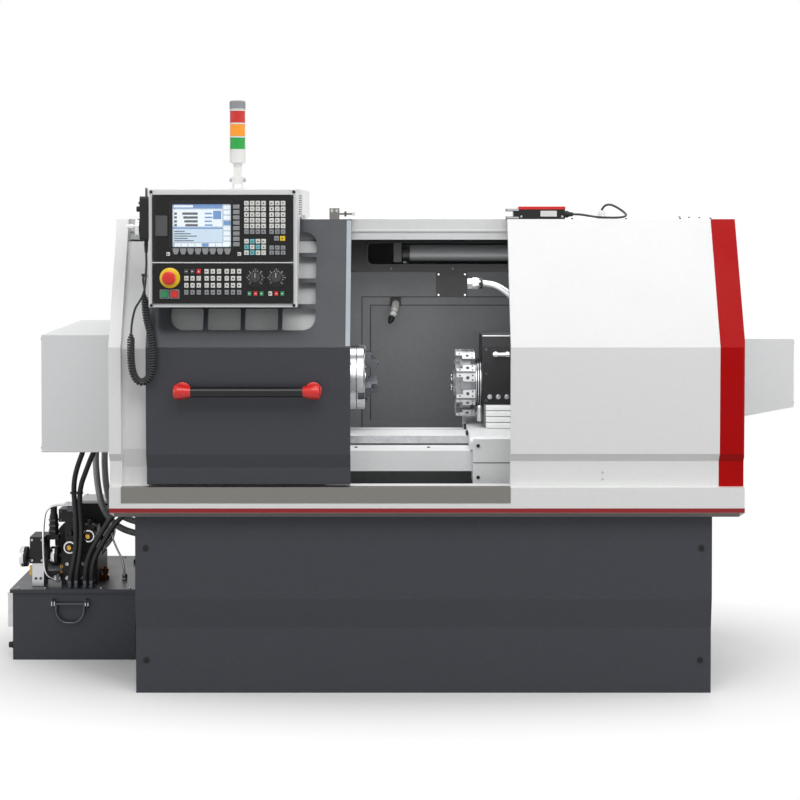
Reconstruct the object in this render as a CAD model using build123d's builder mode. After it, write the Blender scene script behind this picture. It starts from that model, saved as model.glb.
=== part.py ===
# CNC turning lathe with a sliding front door, at its real size in millimetres.
# X runs along the machine with the chuck on the left, Y from the operator to the rear, Z up from the floor.
from build123d import *
from math import atan2, radians, tan
import os

os.makedirs("parts", exist_ok=True)

# Driving dimensions: base and chip tray
BASE_HALF_LENGTH = 886.0
BASE_FRONT = -470.0
BASE_REAR = 400.0
TRAY_BOTTOM = 554.0
TRAY_FLOOR = 566.0
TRAY_TOP = 645.0
TRAY_X = (-957.0, 975.0)

# Driving dimensions: housing
FRONT = -520.0
REAR = 430.0
HOUSING_X = (-958.0, 976.0)
CREASE = (723.0, 747.0)
DOOR_CREASE = (703.0, 746.0)
COVER_CREASE = (700.0, 758.0)
LEAN_Z = 1072.0
ROOF = 1460.0
LEAN_BACK = 165.0
SKIN = 20.0
LEFT_PILLAR_X = -921.0
HEADSTOCK_WALL_X = -300.0
RIGHT_COVER_X = 264.5
RED_STRIP_X = 900.0

# Driving dimensions: door
DOOR_X = (-845.0, -224.0)
DOOR_BOTTOM = 652.0
DOOR_THICK = 24.0

# Driving dimensions: spindle line and bed
AXIS_Y = -100.0
AXIS_Z = 938.0
SPINDLE_BORE = 26.0
CHUCK_RADIUS = 105.0
CHUCK_X = (-290.0, -186.0)
JAW_TIP_X = -146.0
BED_TOP = 758.0
BED_Y = (-198.0, 2.0)

# Driving dimensions: turret
TURRET_Y = 0.0
TURRET_Z = 910.0
TURRET_FLATS = 206.0
TURRET_X = (114.0, 178.0)

# Driving dimensions: control
BOX_X = (-824.0, -380.5)
BOX_Z = (1198.0, 1552.0)
BOX_FRONT = -597.0
BOX_REAR = 145.0
PLATE_FRONT = -603.0
PLATE_X = (-812.0, -391.0)
TOWER_X = -585.0
TOWER_Y = -300.0
TOWER_FOLD_Z = 1584.0


def at_x(x):
    """A plane across the machine: sketches are (Y, Z) and extrude towards +X."""
    return Plane.YZ.offset(x)


def at_y(y):
    """A plane facing the operator: sketches are (X, Z) and extrude towards -Y."""
    return Plane.XZ.offset(-y)


def block(x, y, z, mode=Mode.ADD):
    """A box between two X, two Y and two Z values."""
    with Locations(((x[0] + x[1]) / 2, (y[0] + y[1]) / 2, (z[0] + z[1]) / 2)):
        Box(x[1] - x[0], y[1] - y[0], z[1] - z[0], mode=mode)


def prism(plane, outline, depth, mode=Mode.ADD):
    """A closed outline of straight lines on a plane, extruded along its normal."""
    with BuildSketch(plane) as section:
        with BuildLine():
            Polyline(*outline, close=True)
        make_face()
    extrude(section.sketch, amount=depth, mode=mode)


def round_bar(plane, centre, radius, depth, mode=Mode.ADD):
    """A cylinder that stands on a plane at a point of it."""
    with BuildSketch(plane) as section:
        with Locations(centre):
            Circle(radius)
    extrude(section.sketch, amount=depth, mode=mode)


def pad(plane, centre, size, radius, depth, mode=Mode.ADD):
    """A rectangular pad with rounded corners on a plane."""
    with BuildSketch(plane) as section:
        with Locations(centre):
            RectangleRounded(size[0], size[1], radius)
    extrude(section.sketch, amount=depth, mode=mode)


def turned(origin, direction, outline, mode=Mode.ADD):
    """A turned shape: the outline's points are (distance along the axis, radius)."""
    side = (1, 0, 0) if direction[1] else (0, 1, 0)
    with BuildSketch(Plane(origin=origin, x_dir=direction, z_dir=side)) as section:
        with BuildLine():
            Polyline(*outline, close=True)
        make_face()
    revolve(section.sketch, axis=Axis(origin, direction), mode=mode)


def bend_radii(points):
    """The arc at each corner of a route, as large as its two runs allow."""
    radii = []
    for before, here, after in zip(points, points[1:], points[2:]):
        run_in = Vector(here) - Vector(before)
        run_out = Vector(after) - Vector(here)
        half_turn = radians(run_in.get_angle(run_out)) / 2
        radii.append(0.45 * min(run_in.length, run_out.length) / tan(half_turn))
    return radii


def tube(points, radius):
    """A round tube along a route of straight runs joined by tangent arcs."""
    radii = bend_radii(points)
    with BuildLine() as line:
        FilletPolyline(*points, radius=radii)
    route = line.wires()[0]
    with BuildSketch(Plane(origin=route @ 0, z_dir=route % 0)) as section:
        Circle(radius)
    sweep(section.sketch, path=route)
    print(f"tube r{radius}: {route.length:.0f} mm long, radii {[round(r) for r in radii]}")


def front_outline(inset=0.0, bottom=TRAY_TOP, top=ROOF, crease=CREASE):
    """The front's section from the bottom seam to the roof edge, moved inwards by inset."""
    recess_y, crease_y = FRONT + 23, FRONT + 6
    slope = LEAN_BACK / (ROOF - LEAN_Z)
    corner_z = LEAN_Z - inset * tan(atan2(LEAN_BACK, ROOF - LEAN_Z) / 2)
    return [
        (recess_y + inset, bottom),
        (recess_y + inset, crease[0]),
        (crease_y + inset, crease[1]),
        (FRONT + inset, corner_z),
        (FRONT + inset + (top - corner_z) * slope, top),
    ]


def front_skin(x, inset, thick, bottom=TRAY_TOP, top=ROOF, crease=CREASE):
    """A bent sheet that follows the front's section between two X values."""
    outer = front_outline(inset, bottom, top, crease)
    inner = front_outline(inset + thick, bottom, top, crease)
    prism(at_x(x[0]), outer + inner[::-1], x[1] - x[0])


def save(builder, name):
    """Label a finished piece and write its file."""
    builder.part.label = name
    export_step(builder.part, f"parts/{name}.step")


# Base stand: a closed welded cabinet with an undercut front, inner ribs and bosses for the levelling feet
STAND_WALL = 8.0
FOOT_X = 790.0
FOOT_Y = (-360.0, 330.0)
ANCHOR_RADIUS = 9.0
with BuildPart() as base_stand:
    stand_section = [
        (BASE_REAR, 0),
        (BASE_REAR, TRAY_BOTTOM),
        (BASE_FRONT, TRAY_BOTTOM),
        (BASE_FRONT, 293),
        (BASE_FRONT + 14, 202),
        (BASE_FRONT + 14, 0),
    ]
    prism(at_x(-BASE_HALF_LENGTH), stand_section, 2 * BASE_HALF_LENGTH)
    inner_x = BASE_HALF_LENGTH - STAND_WALL
    inner_y = (BASE_FRONT + 14 + STAND_WALL, BASE_REAR - STAND_WALL)
    inner_z = (STAND_WALL, TRAY_BOTTOM - STAND_WALL)
    block((-inner_x, inner_x), inner_y, inner_z, mode=Mode.SUBTRACT)
    for rib_x in (-440, 0, 440):
        block((rib_x - 4, rib_x + 4), inner_y, (300, inner_z[1]))
    for foot_x in (-FOOT_X, FOOT_X):
        for foot_y in FOOT_Y:
            block((foot_x - 40, foot_x + 40), (foot_y - 40, foot_y + 40), (STAND_WALL, 60))
            round_bar(Plane.XY, (foot_x, foot_y), ANCHOR_RADIUS, 45, mode=Mode.SUBTRACT)
save(base_stand, "base_stand")

# Chip tray: a pan with a bevelled underside and an inward flange that carries the covers
with BuildPart() as chip_tray:
    block(TRAY_X, (FRONT, REAR), (TRAY_BOTTOM, TRAY_TOP))
    chamfer(chip_tray.faces().sort_by(Axis.Z)[0].edges(), length=14)
    block((TRAY_X[0] + 8, TRAY_X[1] - 8), (FRONT + 8, REAR - 8), (TRAY_FLOOR, TRAY_TOP - 8), mode=Mode.SUBTRACT)
    block((-900, 925), (FRONT + 76, REAR - 35), (TRAY_TOP - 9, TRAY_TOP + 1), mode=Mode.SUBTRACT)
save(chip_tray, "chip_tray")

# Left end wall with the front pillar, cut open for the spindle and the motor shaft
housing_section = front_outline() + [(REAR, ROOF), (REAR, TRAY_TOP)]
with BuildPart() as left_end_wall:
    prism(at_x(HOUSING_X[0]), housing_section, LEFT_PILLAR_X - HOUSING_X[0])
    block((HOUSING_X[0] - 1, LEFT_PILLAR_X + 1), (-160, 320), (830, 1010), mode=Mode.SUBTRACT)
save(left_end_wall, "left_end_wall")

# Headstock cover: the fixed front behind the door, with the wall that the spindle nose passes through
COVER_INSET = 32.0
COVER_SHEET = 10.0
HEADROOM = 1390.0
with BuildPart() as headstock_cover:
    front_skin((LEFT_PILLAR_X, HEADSTOCK_WALL_X), COVER_INSET, COVER_SHEET, top=HEADROOM, crease=COVER_CREASE)
    wall_section = front_outline(COVER_INSET, top=HEADROOM, crease=COVER_CREASE) + [(400, HEADROOM), (400, TRAY_TOP)]
    prism(at_x(HEADSTOCK_WALL_X - COVER_SHEET), wall_section, COVER_SHEET)
    round_bar(at_x(HEADSTOCK_WALL_X - COVER_SHEET), (AXIS_Y, AXIS_Z), 80, COVER_SHEET, mode=Mode.SUBTRACT)
    bed_notch = (BED_Y[0] - 4, BED_Y[1] + 4)
    block((HEADSTOCK_WALL_X - 20, HEADSTOCK_WALL_X + 1), bed_notch, (TRAY_TOP - 1, BED_TOP + 1), mode=Mode.SUBTRACT)
    block((HEADSTOCK_WALL_X - 20, HEADSTOCK_WALL_X + 1), (-330, bed_notch[0]), (640, 734), mode=Mode.SUBTRACT)
    block((HEADSTOCK_WALL_X - 20, HEADSTOCK_WALL_X + 1), (-172, 401), (1284, HEADROOM + 1), mode=Mode.SUBTRACT)
save(headstock_cover, "headstock_cover")

# Right front cover and the red corner beside it
with BuildPart() as right_front_cover:
    front_skin((RIGHT_COVER_X, RED_STRIP_X), 0, SKIN)
    block((RIGHT_COVER_X, RED_STRIP_X), (-340, -322), (ROOF - 12, ROOF))
save(right_front_cover, "right_front_cover")

with BuildPart() as red_corner_panel:
    front_skin((RED_STRIP_X, HOUSING_X[1]), 0, SKIN)
    corner_edges = red_corner_panel.faces().sort_by(Axis.X)[-1].edges()
    fillet(corner_edges.group_by(Axis.Y)[0], radius=8)
save(red_corner_panel, "red_corner_panel")

# Roof with the folded rail that the door hangs behind, and the gland of the interlock cable
RAIL_FRONT = -322.0
RAIL_BOTTOM = 1395.0
with BuildPart() as roof_panel:
    roof_section = [
        (RAIL_FRONT, ROOF),
        (REAR, ROOF),
        (REAR, ROOF - 12),
        (RAIL_FRONT + 20, ROOF - 12),
        (RAIL_FRONT + 20, RAIL_BOTTOM),
        (RAIL_FRONT + 4, RAIL_BOTTOM),
        (RAIL_FRONT + 4, RAIL_BOTTOM + 26),
        (RAIL_FRONT, RAIL_BOTTOM + 26),
    ]
    prism(at_x(LEFT_PILLAR_X), roof_section, 951 - LEFT_PILLAR_X)
    turned((577, -211, ROOF), (0, 0, 1), [(0, 0), (0, 16), (6, 16), (7, 12), (18, 12), (25, 7), (25, 0)])
save(roof_panel, "roof_panel")

# Rear wall with a pressed frame round its middle panel
with BuildPart() as rear_wall:
    block((LEFT_PILLAR_X, 951), (400, REAR), (TRAY_TOP, ROOF - 12))
    block((-205, 930), (399, 404), (700, 1174), mode=Mode.SUBTRACT)
    block((-175, 900), (399, 409), (730, 1144), mode=Mode.SUBTRACT)
save(rear_wall, "rear_wall")

# Right end wall, open where the tailstock reaches into its end cover
with BuildPart() as right_end_wall:
    prism(at_x(951), front_outline(SKIN) + [(REAR, ROOF), (REAR, TRAY_TOP)], HOUSING_X[1] - 951)
    block((950, 977), (-200, 10), (850, 1040), mode=Mode.SUBTRACT)
save(right_end_wall, "right_end_wall")

# End covers: the pulley cover on the left, with the bar passage, and the tailstock cover on the right
LEFT_COVER_X = -1208.0
RIGHT_END_X = 1176.0
with BuildPart() as end_covers:
    block((LEFT_COVER_X, HOUSING_X[0]), (-300, 380), (720, 1092))
    block((LEFT_COVER_X + 6, HOUSING_X[0] + 1), (-294, 374), (726, 1086), mode=Mode.SUBTRACT)
    round_bar(at_x(LEFT_COVER_X), (AXIS_Y, AXIS_Z), 34, 6, mode=Mode.SUBTRACT)
    tail_cover = [(HOUSING_X[1], 826), (RIGHT_END_X, 864), (RIGHT_END_X, 1080), (HOUSING_X[1], 1080)]
    prism(at_y(100), tail_cover, 400)
    tail_hollow = [(HOUSING_X[1] - 1, 833), (RIGHT_END_X - 6, 871), (RIGHT_END_X - 6, 1074), (HOUSING_X[1] - 1, 1074)]
    prism(at_y(94), tail_hollow, 388, mode=Mode.SUBTRACT)
save(end_covers, "end_covers")

# Lamp shelf under the roof, with the lamp's long slot and a junction box with its gland
SHELF_FRONT = -170.0
CONDUIT_Y = -110.0
CONDUIT_Z = 1246.0
GLAND_END_X = 200.0
with BuildPart() as lamp_shelf:
    block((HEADSTOCK_WALL_X - 10, 951), (SHELF_FRONT, 400), (1286, 1394))
    block((HEADSTOCK_WALL_X - 4, 945), (SHELF_FRONT + 6, 401), (1292, 1395), mode=Mode.SUBTRACT)
    pad(at_y(SHELF_FRONT + 6), (232, 1347), (818, 72), 18, 6, mode=Mode.SUBTRACT)
    block((48, 146), (-160, -60), (1206, 1286))
    with BuildSketch(at_x(146)) as gland_section:
        with Locations((CONDUIT_Y, CONDUIT_Z)):
            RegularPolygon(radius=18, side_count=6)
    extrude(gland_section.sketch, amount=GLAND_END_X - 146)
save(lamp_shelf, "lamp_shelf")

# Work lamp: a long tube lamp behind the slot, held by two end brackets
with BuildPart() as work_lamp:
    turned((-60, -128, 1347), (1, 0, 0), [(0, 0), (0, 24), (6, 27), (594, 27), (600, 24), (600, 0)])
    for bracket_x in (-60, 530):
        block((bracket_x, bracket_x + 10), (-140, -116), (1292, 1326))
save(work_lamp, "work_lamp")

# Lamp conduit: a flexible metal hose that droops behind the right cover and turns back to the rear wall
CONDUIT_RADIUS = 11.0
conduit_route = [
    (GLAND_END_X, CONDUIT_Y, CONDUIT_Z),
    (226, CONDUIT_Y, CONDUIT_Z),
    (264, -106, 1230),
    (304, -84, 1196),
    (336, -40, 1162),
    (356, 20, 1136),
    (366, 90, 1122),
    (370, 160, 1118),
    (371, 230, 1122),
    (370, 300, 1128),
    (370, 345, 1129),
    (370, 380, 1128.5),
]
with BuildPart() as lamp_conduit:
    tube(conduit_route, CONDUIT_RADIUS)
save(lamp_conduit, "lamp_conduit")

# Bed: two ways over a ribbed trough, on a wide foot
with BuildPart() as bed:
    bed_section = [
        (-228, TRAY_FLOOR),
        (-228, 585),
        (-186, 600),
        (-186, 733),
        (BED_Y[0], 733),
        (BED_Y[0], BED_TOP),
        (BED_Y[1], BED_TOP),
        (BED_Y[1], 733),
        (-10, 733),
        (-10, 600),
        (32, 585),
        (32, TRAY_FLOOR),
    ]
    prism(at_x(-880), bed_section, 1760)
    block((-881, 881), (-150, -46), (744, BED_TOP + 1), mode=Mode.SUBTRACT)
    for pocket in range(8):
        pocket_x = -856 + 216 * pocket
        block((pocket_x, pocket_x + 190), (-150, -46), (600, 745), mode=Mode.SUBTRACT)
save(bed, "bed")

# Screw guard: a folded sheet in front of the bed, open below, that the apron reaches round
GUARD_FRONT = -322.0
with BuildPart() as screw_guard:
    guard_section = [
        (GUARD_FRONT, 665),
        (GUARD_FRONT, 728),
        (-186, 728),
        (-186, 725),
        (GUARD_FRONT + 3, 725),
        (GUARD_FRONT + 3, 665),
    ]
    prism(at_x(-305), guard_section, 1185)
save(screw_guard, "screw_guard")

# Headstock: the casting that holds the spindle on the bed
with BuildPart() as headstock:
    head_section = [
        (-220, BED_TOP),
        (-220, 1030),
        (-180, 1090),
        (10, 1090),
        (50, 1030),
        (50, BED_TOP),
    ]
    prism(at_x(-850), head_section, 525)
    round_bar(at_x(-850), (AXIS_Y, AXIS_Z), 45.05, 525, mode=Mode.SUBTRACT)
save(headstock, "headstock")

# Spindle and its belt pulley
PULLEY_X = (-1100.0, -1030.0)
PULLEY_RADIUS = 80.0


def grooved_pulley(centre, radius, hub_radius):
    """A belt pulley with shallow grooves between two rims."""
    width = PULLEY_X[1] - PULLEY_X[0]
    outline = [(0, hub_radius), (0, radius + 5), (5, radius + 5), (6, radius)]
    for groove in range(5):
        start = 9 + groove * 11
        outline += [(start, radius), (start + 4, radius - 5), (start + 8, radius)]
    outline += [(width - 6, radius), (width - 5, radius + 5), (width, radius + 5), (width, hub_radius)]
    turned((PULLEY_X[0], centre[0], centre[1]), (1, 0, 0), outline)


with BuildPart() as spindle:
    spindle_outline = [
        (-1130, SPINDLE_BORE),
        (-1130, 40),
        (-880, 40),
        (-880, 45),
        (-322, 45),
        (-322, 70),
        (CHUCK_X[0], 70),
        (CHUCK_X[0], SPINDLE_BORE),
    ]
    turned((0, AXIS_Y, AXIS_Z), (1, 0, 0), spindle_outline)
    grooved_pulley((AXIS_Y, AXIS_Z), PULLEY_RADIUS, 40)
save(spindle, "spindle")

# Main motor on its foot behind the headstock, its pulley and the belt
MOTOR_Y = 260.0
MOTOR_Z = 890.0
MOTOR_PULLEY_RADIUS = 60.0
with BuildPart() as main_motor:
    motor_outline = [(0, 19.05), (0, 60), (20, 100), (270, 100), (280, 92), (330, 92), (330, 19.05)]
    turned((-915, MOTOR_Y, MOTOR_Z), (1, 0, 0), motor_outline)
    block((-880, -660), (180, 340), (TRAY_FLOOR, 812))
    for fin in range(9):
        fin_angle = -80 + 20 * fin
        with Locations(Location((-770, MOTOR_Y, MOTOR_Z), (fin_angle, 0, 0))):
            with Locations((0, 0, 102)):
                Box(200, 4, 14)
save(main_motor, "main_motor")

with BuildPart() as motor_pulley:
    grooved_pulley((MOTOR_Y, MOTOR_Z), MOTOR_PULLEY_RADIUS, 18)
    turned((-1100, MOTOR_Y, MOTOR_Z), (1, 0, 0), [(0, 0), (0, 19), (500, 19), (500, 0)])
save(motor_pulley, "motor_pulley")

BELT_X = -1094.0
BELT_WIDTH = 58.0
with BuildPart() as drive_belt:
    for growth, mode in ((7.0, Mode.ADD), (0.4, Mode.SUBTRACT)):
        with BuildSketch(at_x(BELT_X)) as belt_loop:
            with Locations((AXIS_Y, AXIS_Z)):
                Circle(PULLEY_RADIUS + growth)
            with Locations((MOTOR_Y, MOTOR_Z)):
                Circle(MOTOR_PULLEY_RADIUS + growth)
            make_hull()
        extrude(belt_loop.sketch, amount=BELT_WIDTH, mode=mode)
save(drive_belt, "drive_belt")

# Chuck: the body with three radial guide slots, and its stepped jaws
JAW_WIDTH = 36.0
JAW_INNER = 32.0
JAW_ROOT_X = CHUCK_X[1] - 22
with BuildPart() as chuck_body:
    chuck_outline = [
        (CHUCK_X[0], 28),
        (CHUCK_X[0], CHUCK_RADIUS - 4),
        (CHUCK_X[0] + 4, CHUCK_RADIUS),
        (CHUCK_X[1] - 4, CHUCK_RADIUS),
        (CHUCK_X[1], CHUCK_RADIUS - 4),
        (CHUCK_X[1], 28),
    ]
    turned((0, AXIS_Y, AXIS_Z), (1, 0, 0), chuck_outline)
    for jaw_angle in (0, 120, 240):
        with Locations(Location(((JAW_ROOT_X + CHUCK_X[1]) / 2, AXIS_Y, AXIS_Z), (jaw_angle, 0, 0))):
            with Locations((0, 0, 73)):
                Box(22.6, JAW_WIDTH - 9.4, 84, mode=Mode.SUBTRACT)
save(chuck_body, "chuck_body")


def chuck_jaw(jaw_angle, name):
    """One jaw: a root in the chuck's slot and two gripping steps in front of the face."""
    with BuildPart() as jaw:
        steps = [
            (JAW_ROOT_X + 0.3, JAW_INNER + 4),
            (CHUCK_X[1] + 0.3, JAW_INNER + 4),
            (CHUCK_X[1] + 0.3, JAW_INNER),
            (JAW_TIP_X, JAW_INNER),
            (JAW_TIP_X, 62),
            (JAW_TIP_X - 18, 62),
            (JAW_TIP_X - 18, 84),
            (CHUCK_X[1] + 0.3, 84),
            (CHUCK_X[1] + 0.3, 98),
            (JAW_ROOT_X + 0.3, 98),
        ]
        with BuildSketch(Plane.XZ) as side_view:
            with BuildLine():
                Polyline(*steps, close=True)
            make_face()
        extrude(side_view.sketch, amount=JAW_WIDTH / 2, both=True)
        root_side = (JAW_WIDTH - 10) / 2
        for side in (-1, 1):
            y_range = sorted((side * root_side, side * (JAW_WIDTH / 2 + 1)))
            block((JAW_ROOT_X - 1, CHUCK_X[1] + 0.3), y_range, (0, 120), mode=Mode.SUBTRACT)
    jaw.part.locate(Location((0, AXIS_Y, AXIS_Z), (jaw_angle, 0, 0)))
    save(jaw, name)


for number, jaw_angle in enumerate((0, 120, 240), start=1):
    chuck_jaw(jaw_angle, f"chuck_jaw_{number}")

# Ball screw of the long axis, its servo motor and end bearing
SCREW_Y = -262.0
SCREW_Z = 697.0
SCREW_RADIUS = 14.0
with BuildPart() as z_screw:
    z_screw_outline = [
        (-298, 0),
        (-298, 9.96),
        (-270, 9.96),
        (-270, SCREW_RADIUS),
        (700, SCREW_RADIUS),
        (700, 9.96),
        (770, 9.96),
        (770, 0),
    ]
    turned((0, SCREW_Y, SCREW_Z), (1, 0, 0), z_screw_outline)
save(z_screw, "z_screw")

with BuildPart() as z_servo_motor:
    block((-300, -275), (-300, -186), (665, 721))
    block((705, 735), (-310, -186), (650, 721))
    block((735, 860), (-307, -217), (648, 721))
    round_bar(at_x(-301), (SCREW_Y, SCREW_Z), 10, 30, mode=Mode.SUBTRACT)
    round_bar(at_x(704), (SCREW_Y, SCREW_Z), 10, 80, mode=Mode.SUBTRACT)
save(z_servo_motor, "z_servo_motor")

# Saddle: it rides on the bed and carries the cross slide and the cross screw's servo motor
SADDLE_X = (150.0, 440.0)
SADDLE_TOP = 772.0
SADDLE_REAR = 290.0
CROSS_SCREW_X = 300.0
CROSS_SCREW_Z = 800.0
with BuildPart() as saddle:
    saddle_section = [
        (-328, SADDLE_TOP - 14),
        (-314, SADDLE_TOP),
        (SADDLE_REAR, SADDLE_TOP),
        (SADDLE_REAR, 732),
        (BED_Y[1] + 8, 732),
        (BED_Y[1] + 8, BED_TOP + 0.3),
        (BED_Y[0] - 8, BED_TOP + 0.3),
        (BED_Y[0] - 8, 732),
        (-328, 732),
    ]
    prism(at_x(SADDLE_X[0]), saddle_section, SADDLE_X[1] - SADDLE_X[0])
    block((268, 332), (242, 266), (SADDLE_TOP, 830))
    block((270, 330), (266, 376), (SADDLE_TOP, 830))
    round_bar(at_y(290), (CROSS_SCREW_X, CROSS_SCREW_Z), 8, 55, mode=Mode.SUBTRACT)
save(saddle, "saddle")

# Apron: it hangs in front of the saddle, reaches below the screw guard and holds the ball nut
APRON_X = (157.0, 430.0)
with BuildPart() as apron:
    apron_section = [
        (-370, 629),
        (-370, SADDLE_TOP),
        (-328, SADDLE_TOP - 14),
        (-328, 650),
        (-292, 650),
        (-292, 718),
        (-234, 718),
        (-234, 640),
        (-245, 629),
    ]
    prism(at_x(APRON_X[0]), apron_section, APRON_X[1] - APRON_X[0])
    round_bar(at_x(APRON_X[0]), (SCREW_Y, SCREW_Z), SCREW_RADIUS + 0.3, 273, mode=Mode.SUBTRACT)
save(apron, "apron")

# Cross slide with its channel for the cross screw and the stepped way covers at its front
SLIDE_X = (205.0, 395.0)
SLIDE_TOP = 849.0
with BuildPart() as cross_slide:
    block(SLIDE_X, (-112, 118), (SADDLE_TOP + 0.3, SLIDE_TOP))
    for step in range(4):
        step_z = (SADDLE_TOP + 2 + 19 * step, SADDLE_TOP + 17 + 19 * step)
        block((SLIDE_X[0] + 8, SLIDE_X[1] - 8), (-124 + 2 * step, -112), step_z)
    block((262, 338), (-90, 119), (SADDLE_TOP - 1, 838), mode=Mode.SUBTRACT)
    block((262, 338), (78, 108), (SADDLE_TOP + 2, 838))
    round_bar(at_y(109), (CROSS_SCREW_X, CROSS_SCREW_Z), 10.3, 32, mode=Mode.SUBTRACT)
save(cross_slide, "cross_slide")

with BuildPart() as x_screw:
    turned((CROSS_SCREW_X, 46, CROSS_SCREW_Z), (0, 1, 0), [(0, 0), (0, 10), (194, 10), (194, 7.96), (230, 7.96), (230, 0)])
save(x_screw, "x_screw")

# Turret body with its round neck and indexing motor
TURRET_BODY_X = (200.0, 400.0)
with BuildPart() as turret_body:
    body_section = [
        (-110, SLIDE_TOP),
        (-110, 1040),
        (-85, 1071),
        (90, 1071),
        (118, 1040),
        (118, SLIDE_TOP),
    ]
    prism(at_x(TURRET_BODY_X[0]), body_section, TURRET_BODY_X[1] - TURRET_BODY_X[0])
    neck = [(0, 0), (0, 74), (14, 82), (22, 82), (22, 0)]
    turned((TURRET_X[1] + 0.3, TURRET_Y, TURRET_Z), (1, 0, 0), neck)
    turned((TURRET_BODY_X[1], TURRET_Y + 10, 960), (1, 0, 0), [(0, 0), (0, 50), (44, 50), (50, 44), (50, 0)])
save(turret_body, "turret_body")

# Turret disc: eight flats, each with a tool slot that opens to the left between two screwed clamp blocks
STATIONS = 8
CLAMP_HEIGHT = 26.0
CLAMP_PITCH = 27.0
CLAMP_RISE = 4.0
with BuildPart() as turret_disc:
    with BuildSketch(at_x(TURRET_X[0])) as disc_outline:
        with Locations((TURRET_Y, TURRET_Z)):
            RegularPolygon(radius=TURRET_FLATS / 2, side_count=STATIONS, major_radius=False, rotation=180 / STATIONS)
    extrude(disc_outline.sketch, amount=TURRET_X[1] - TURRET_X[0])
    disc_length = TURRET_X[1] - TURRET_X[0]
    for station in range(STATIONS):
        turn = Location((TURRET_X[0], TURRET_Y, TURRET_Z), (station * 360 / STATIONS, 0, 0))
        with Locations(turn):
            with Locations((disc_length / 2, 0, TURRET_FLATS / 2)):
                Box(disc_length + 2, 26, 36, mode=Mode.SUBTRACT)
            with Locations((disc_length / 2, 0, TURRET_FLATS / 2 - 12)):
                Box(disc_length - 30, 26.4, 14)
            for side in (-1, 1):
                with Locations((disc_length / 2, side * CLAMP_PITCH, TURRET_FLATS / 2)):
                    Box(disc_length - 2, CLAMP_HEIGHT, 2 * CLAMP_RISE)
                with Locations((10, side * 20, TURRET_FLATS / 2)):
                    Box(22, 16, 24, mode=Mode.SUBTRACT)
                for hole_x, hole_radius in ((18, 3.2), (54, 3.2), (36, 6)):
                    hole_y = side * (CLAMP_PITCH + (1 if hole_radius < 5 else -2))
                    with Locations((hole_x, hole_y, TURRET_FLATS / 2 + CLAMP_RISE - 4)):
                        Cylinder(hole_radius, 8.2, mode=Mode.SUBTRACT)
    turned((TURRET_X[0] - 8, TURRET_Y, TURRET_Z), (1, 0, 0), [(0, 0), (0, 40), (8, 46), (8, 0)])
save(turret_disc, "turret_disc")

# Tailstock: body on the bed, sliding quill with its live centre
QUILL_RADIUS = 32.0
with BuildPart() as tailstock:
    with BuildSketch(at_x(640)) as tail_section:
        with BuildLine():
            Polyline((-185, BED_TOP + 0.3), (-185, 800), (-150, 830), (-158, AXIS_Z))
            ThreePointArc((-158, AXIS_Z), (AXIS_Y, AXIS_Z + 58), (-42, AXIS_Z))
            Polyline((-42, AXIS_Z), (-50, 830), (-15, 800), (-15, BED_TOP + 0.3), (-185, BED_TOP + 0.3))
        make_face()
    extrude(tail_section.sketch, amount=220)
    block((655, 845), (-148, -48), (BED_TOP - 12, BED_TOP + 0.3))
    round_bar(at_x(640), (AXIS_Y, AXIS_Z), QUILL_RADIUS + 0.05, 190, mode=Mode.SUBTRACT)
save(tailstock, "tailstock")

with BuildPart() as tailstock_quill:
    quill_outline = [
        (560, 0),
        (582, 12),
        (582, 22),
        (606, 26),
        (606, QUILL_RADIUS),
        (820, QUILL_RADIUS),
        (820, 0),
    ]
    turned((0, AXIS_Y, AXIS_Z), (1, 0, 0), quill_outline)
save(tailstock_quill, "tailstock_quill")

# Electrical cabinet on the rear wall
with BuildPart() as electrical_cabinet:
    block((-640, 520), (REAR, REAR + 220), (620, 1400))
    pad(at_y(REAR + 226), (-350, 1010), (556, 756), 6, 6)
    pad(at_y(REAR + 226), (230, 1010), (556, 756), 6, 6)
save(electrical_cabinet, "electrical_cabinet")

# Sliding door: a bent shell with a grille of sixteen openings and two guide shoes
GRILLE_X = (-775.0, -331.0)
GRILLE_Z = (1121.0, 1421.0)
GRILLE_BAR = 12.5
PANE_W = (GRILLE_X[1] - GRILLE_X[0] - 3 * GRILLE_BAR) / 4
PANE_H = (GRILLE_Z[1] - GRILLE_Z[0] - 3 * GRILLE_BAR) / 4
GRILLE_CENTRE = (sum(GRILLE_X) / 2, sum(GRILLE_Z) / 2)
DOOR_TOP = 1459.0
with BuildPart() as door_panel:
    front_skin(DOOR_X, 0, DOOR_THICK, bottom=DOOR_BOTTOM, top=DOOR_TOP, crease=DOOR_CREASE)
    with BuildSketch(at_y(-300)) as grille:
        with Locations(GRILLE_CENTRE):
            with GridLocations(PANE_W + GRILLE_BAR, PANE_H + GRILLE_BAR, 4, 4):
                RectangleRounded(PANE_W, PANE_H, 6)
            RectangleRounded(4 * PANE_W + 3 * GRILLE_BAR, 4 * PANE_H + 3 * GRILLE_BAR, 40, mode=Mode.INTERSECT)
    extrude(grille.sketch, amount=230, mode=Mode.SUBTRACT)
    for shoe_x in (DOOR_X[0] + 25, DOOR_X[1] - 76):
        block((shoe_x, shoe_x + 50), (-480, -469), (TRAY_TOP + 3.5, 700))
save(door_panel, "door_panel")

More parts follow.
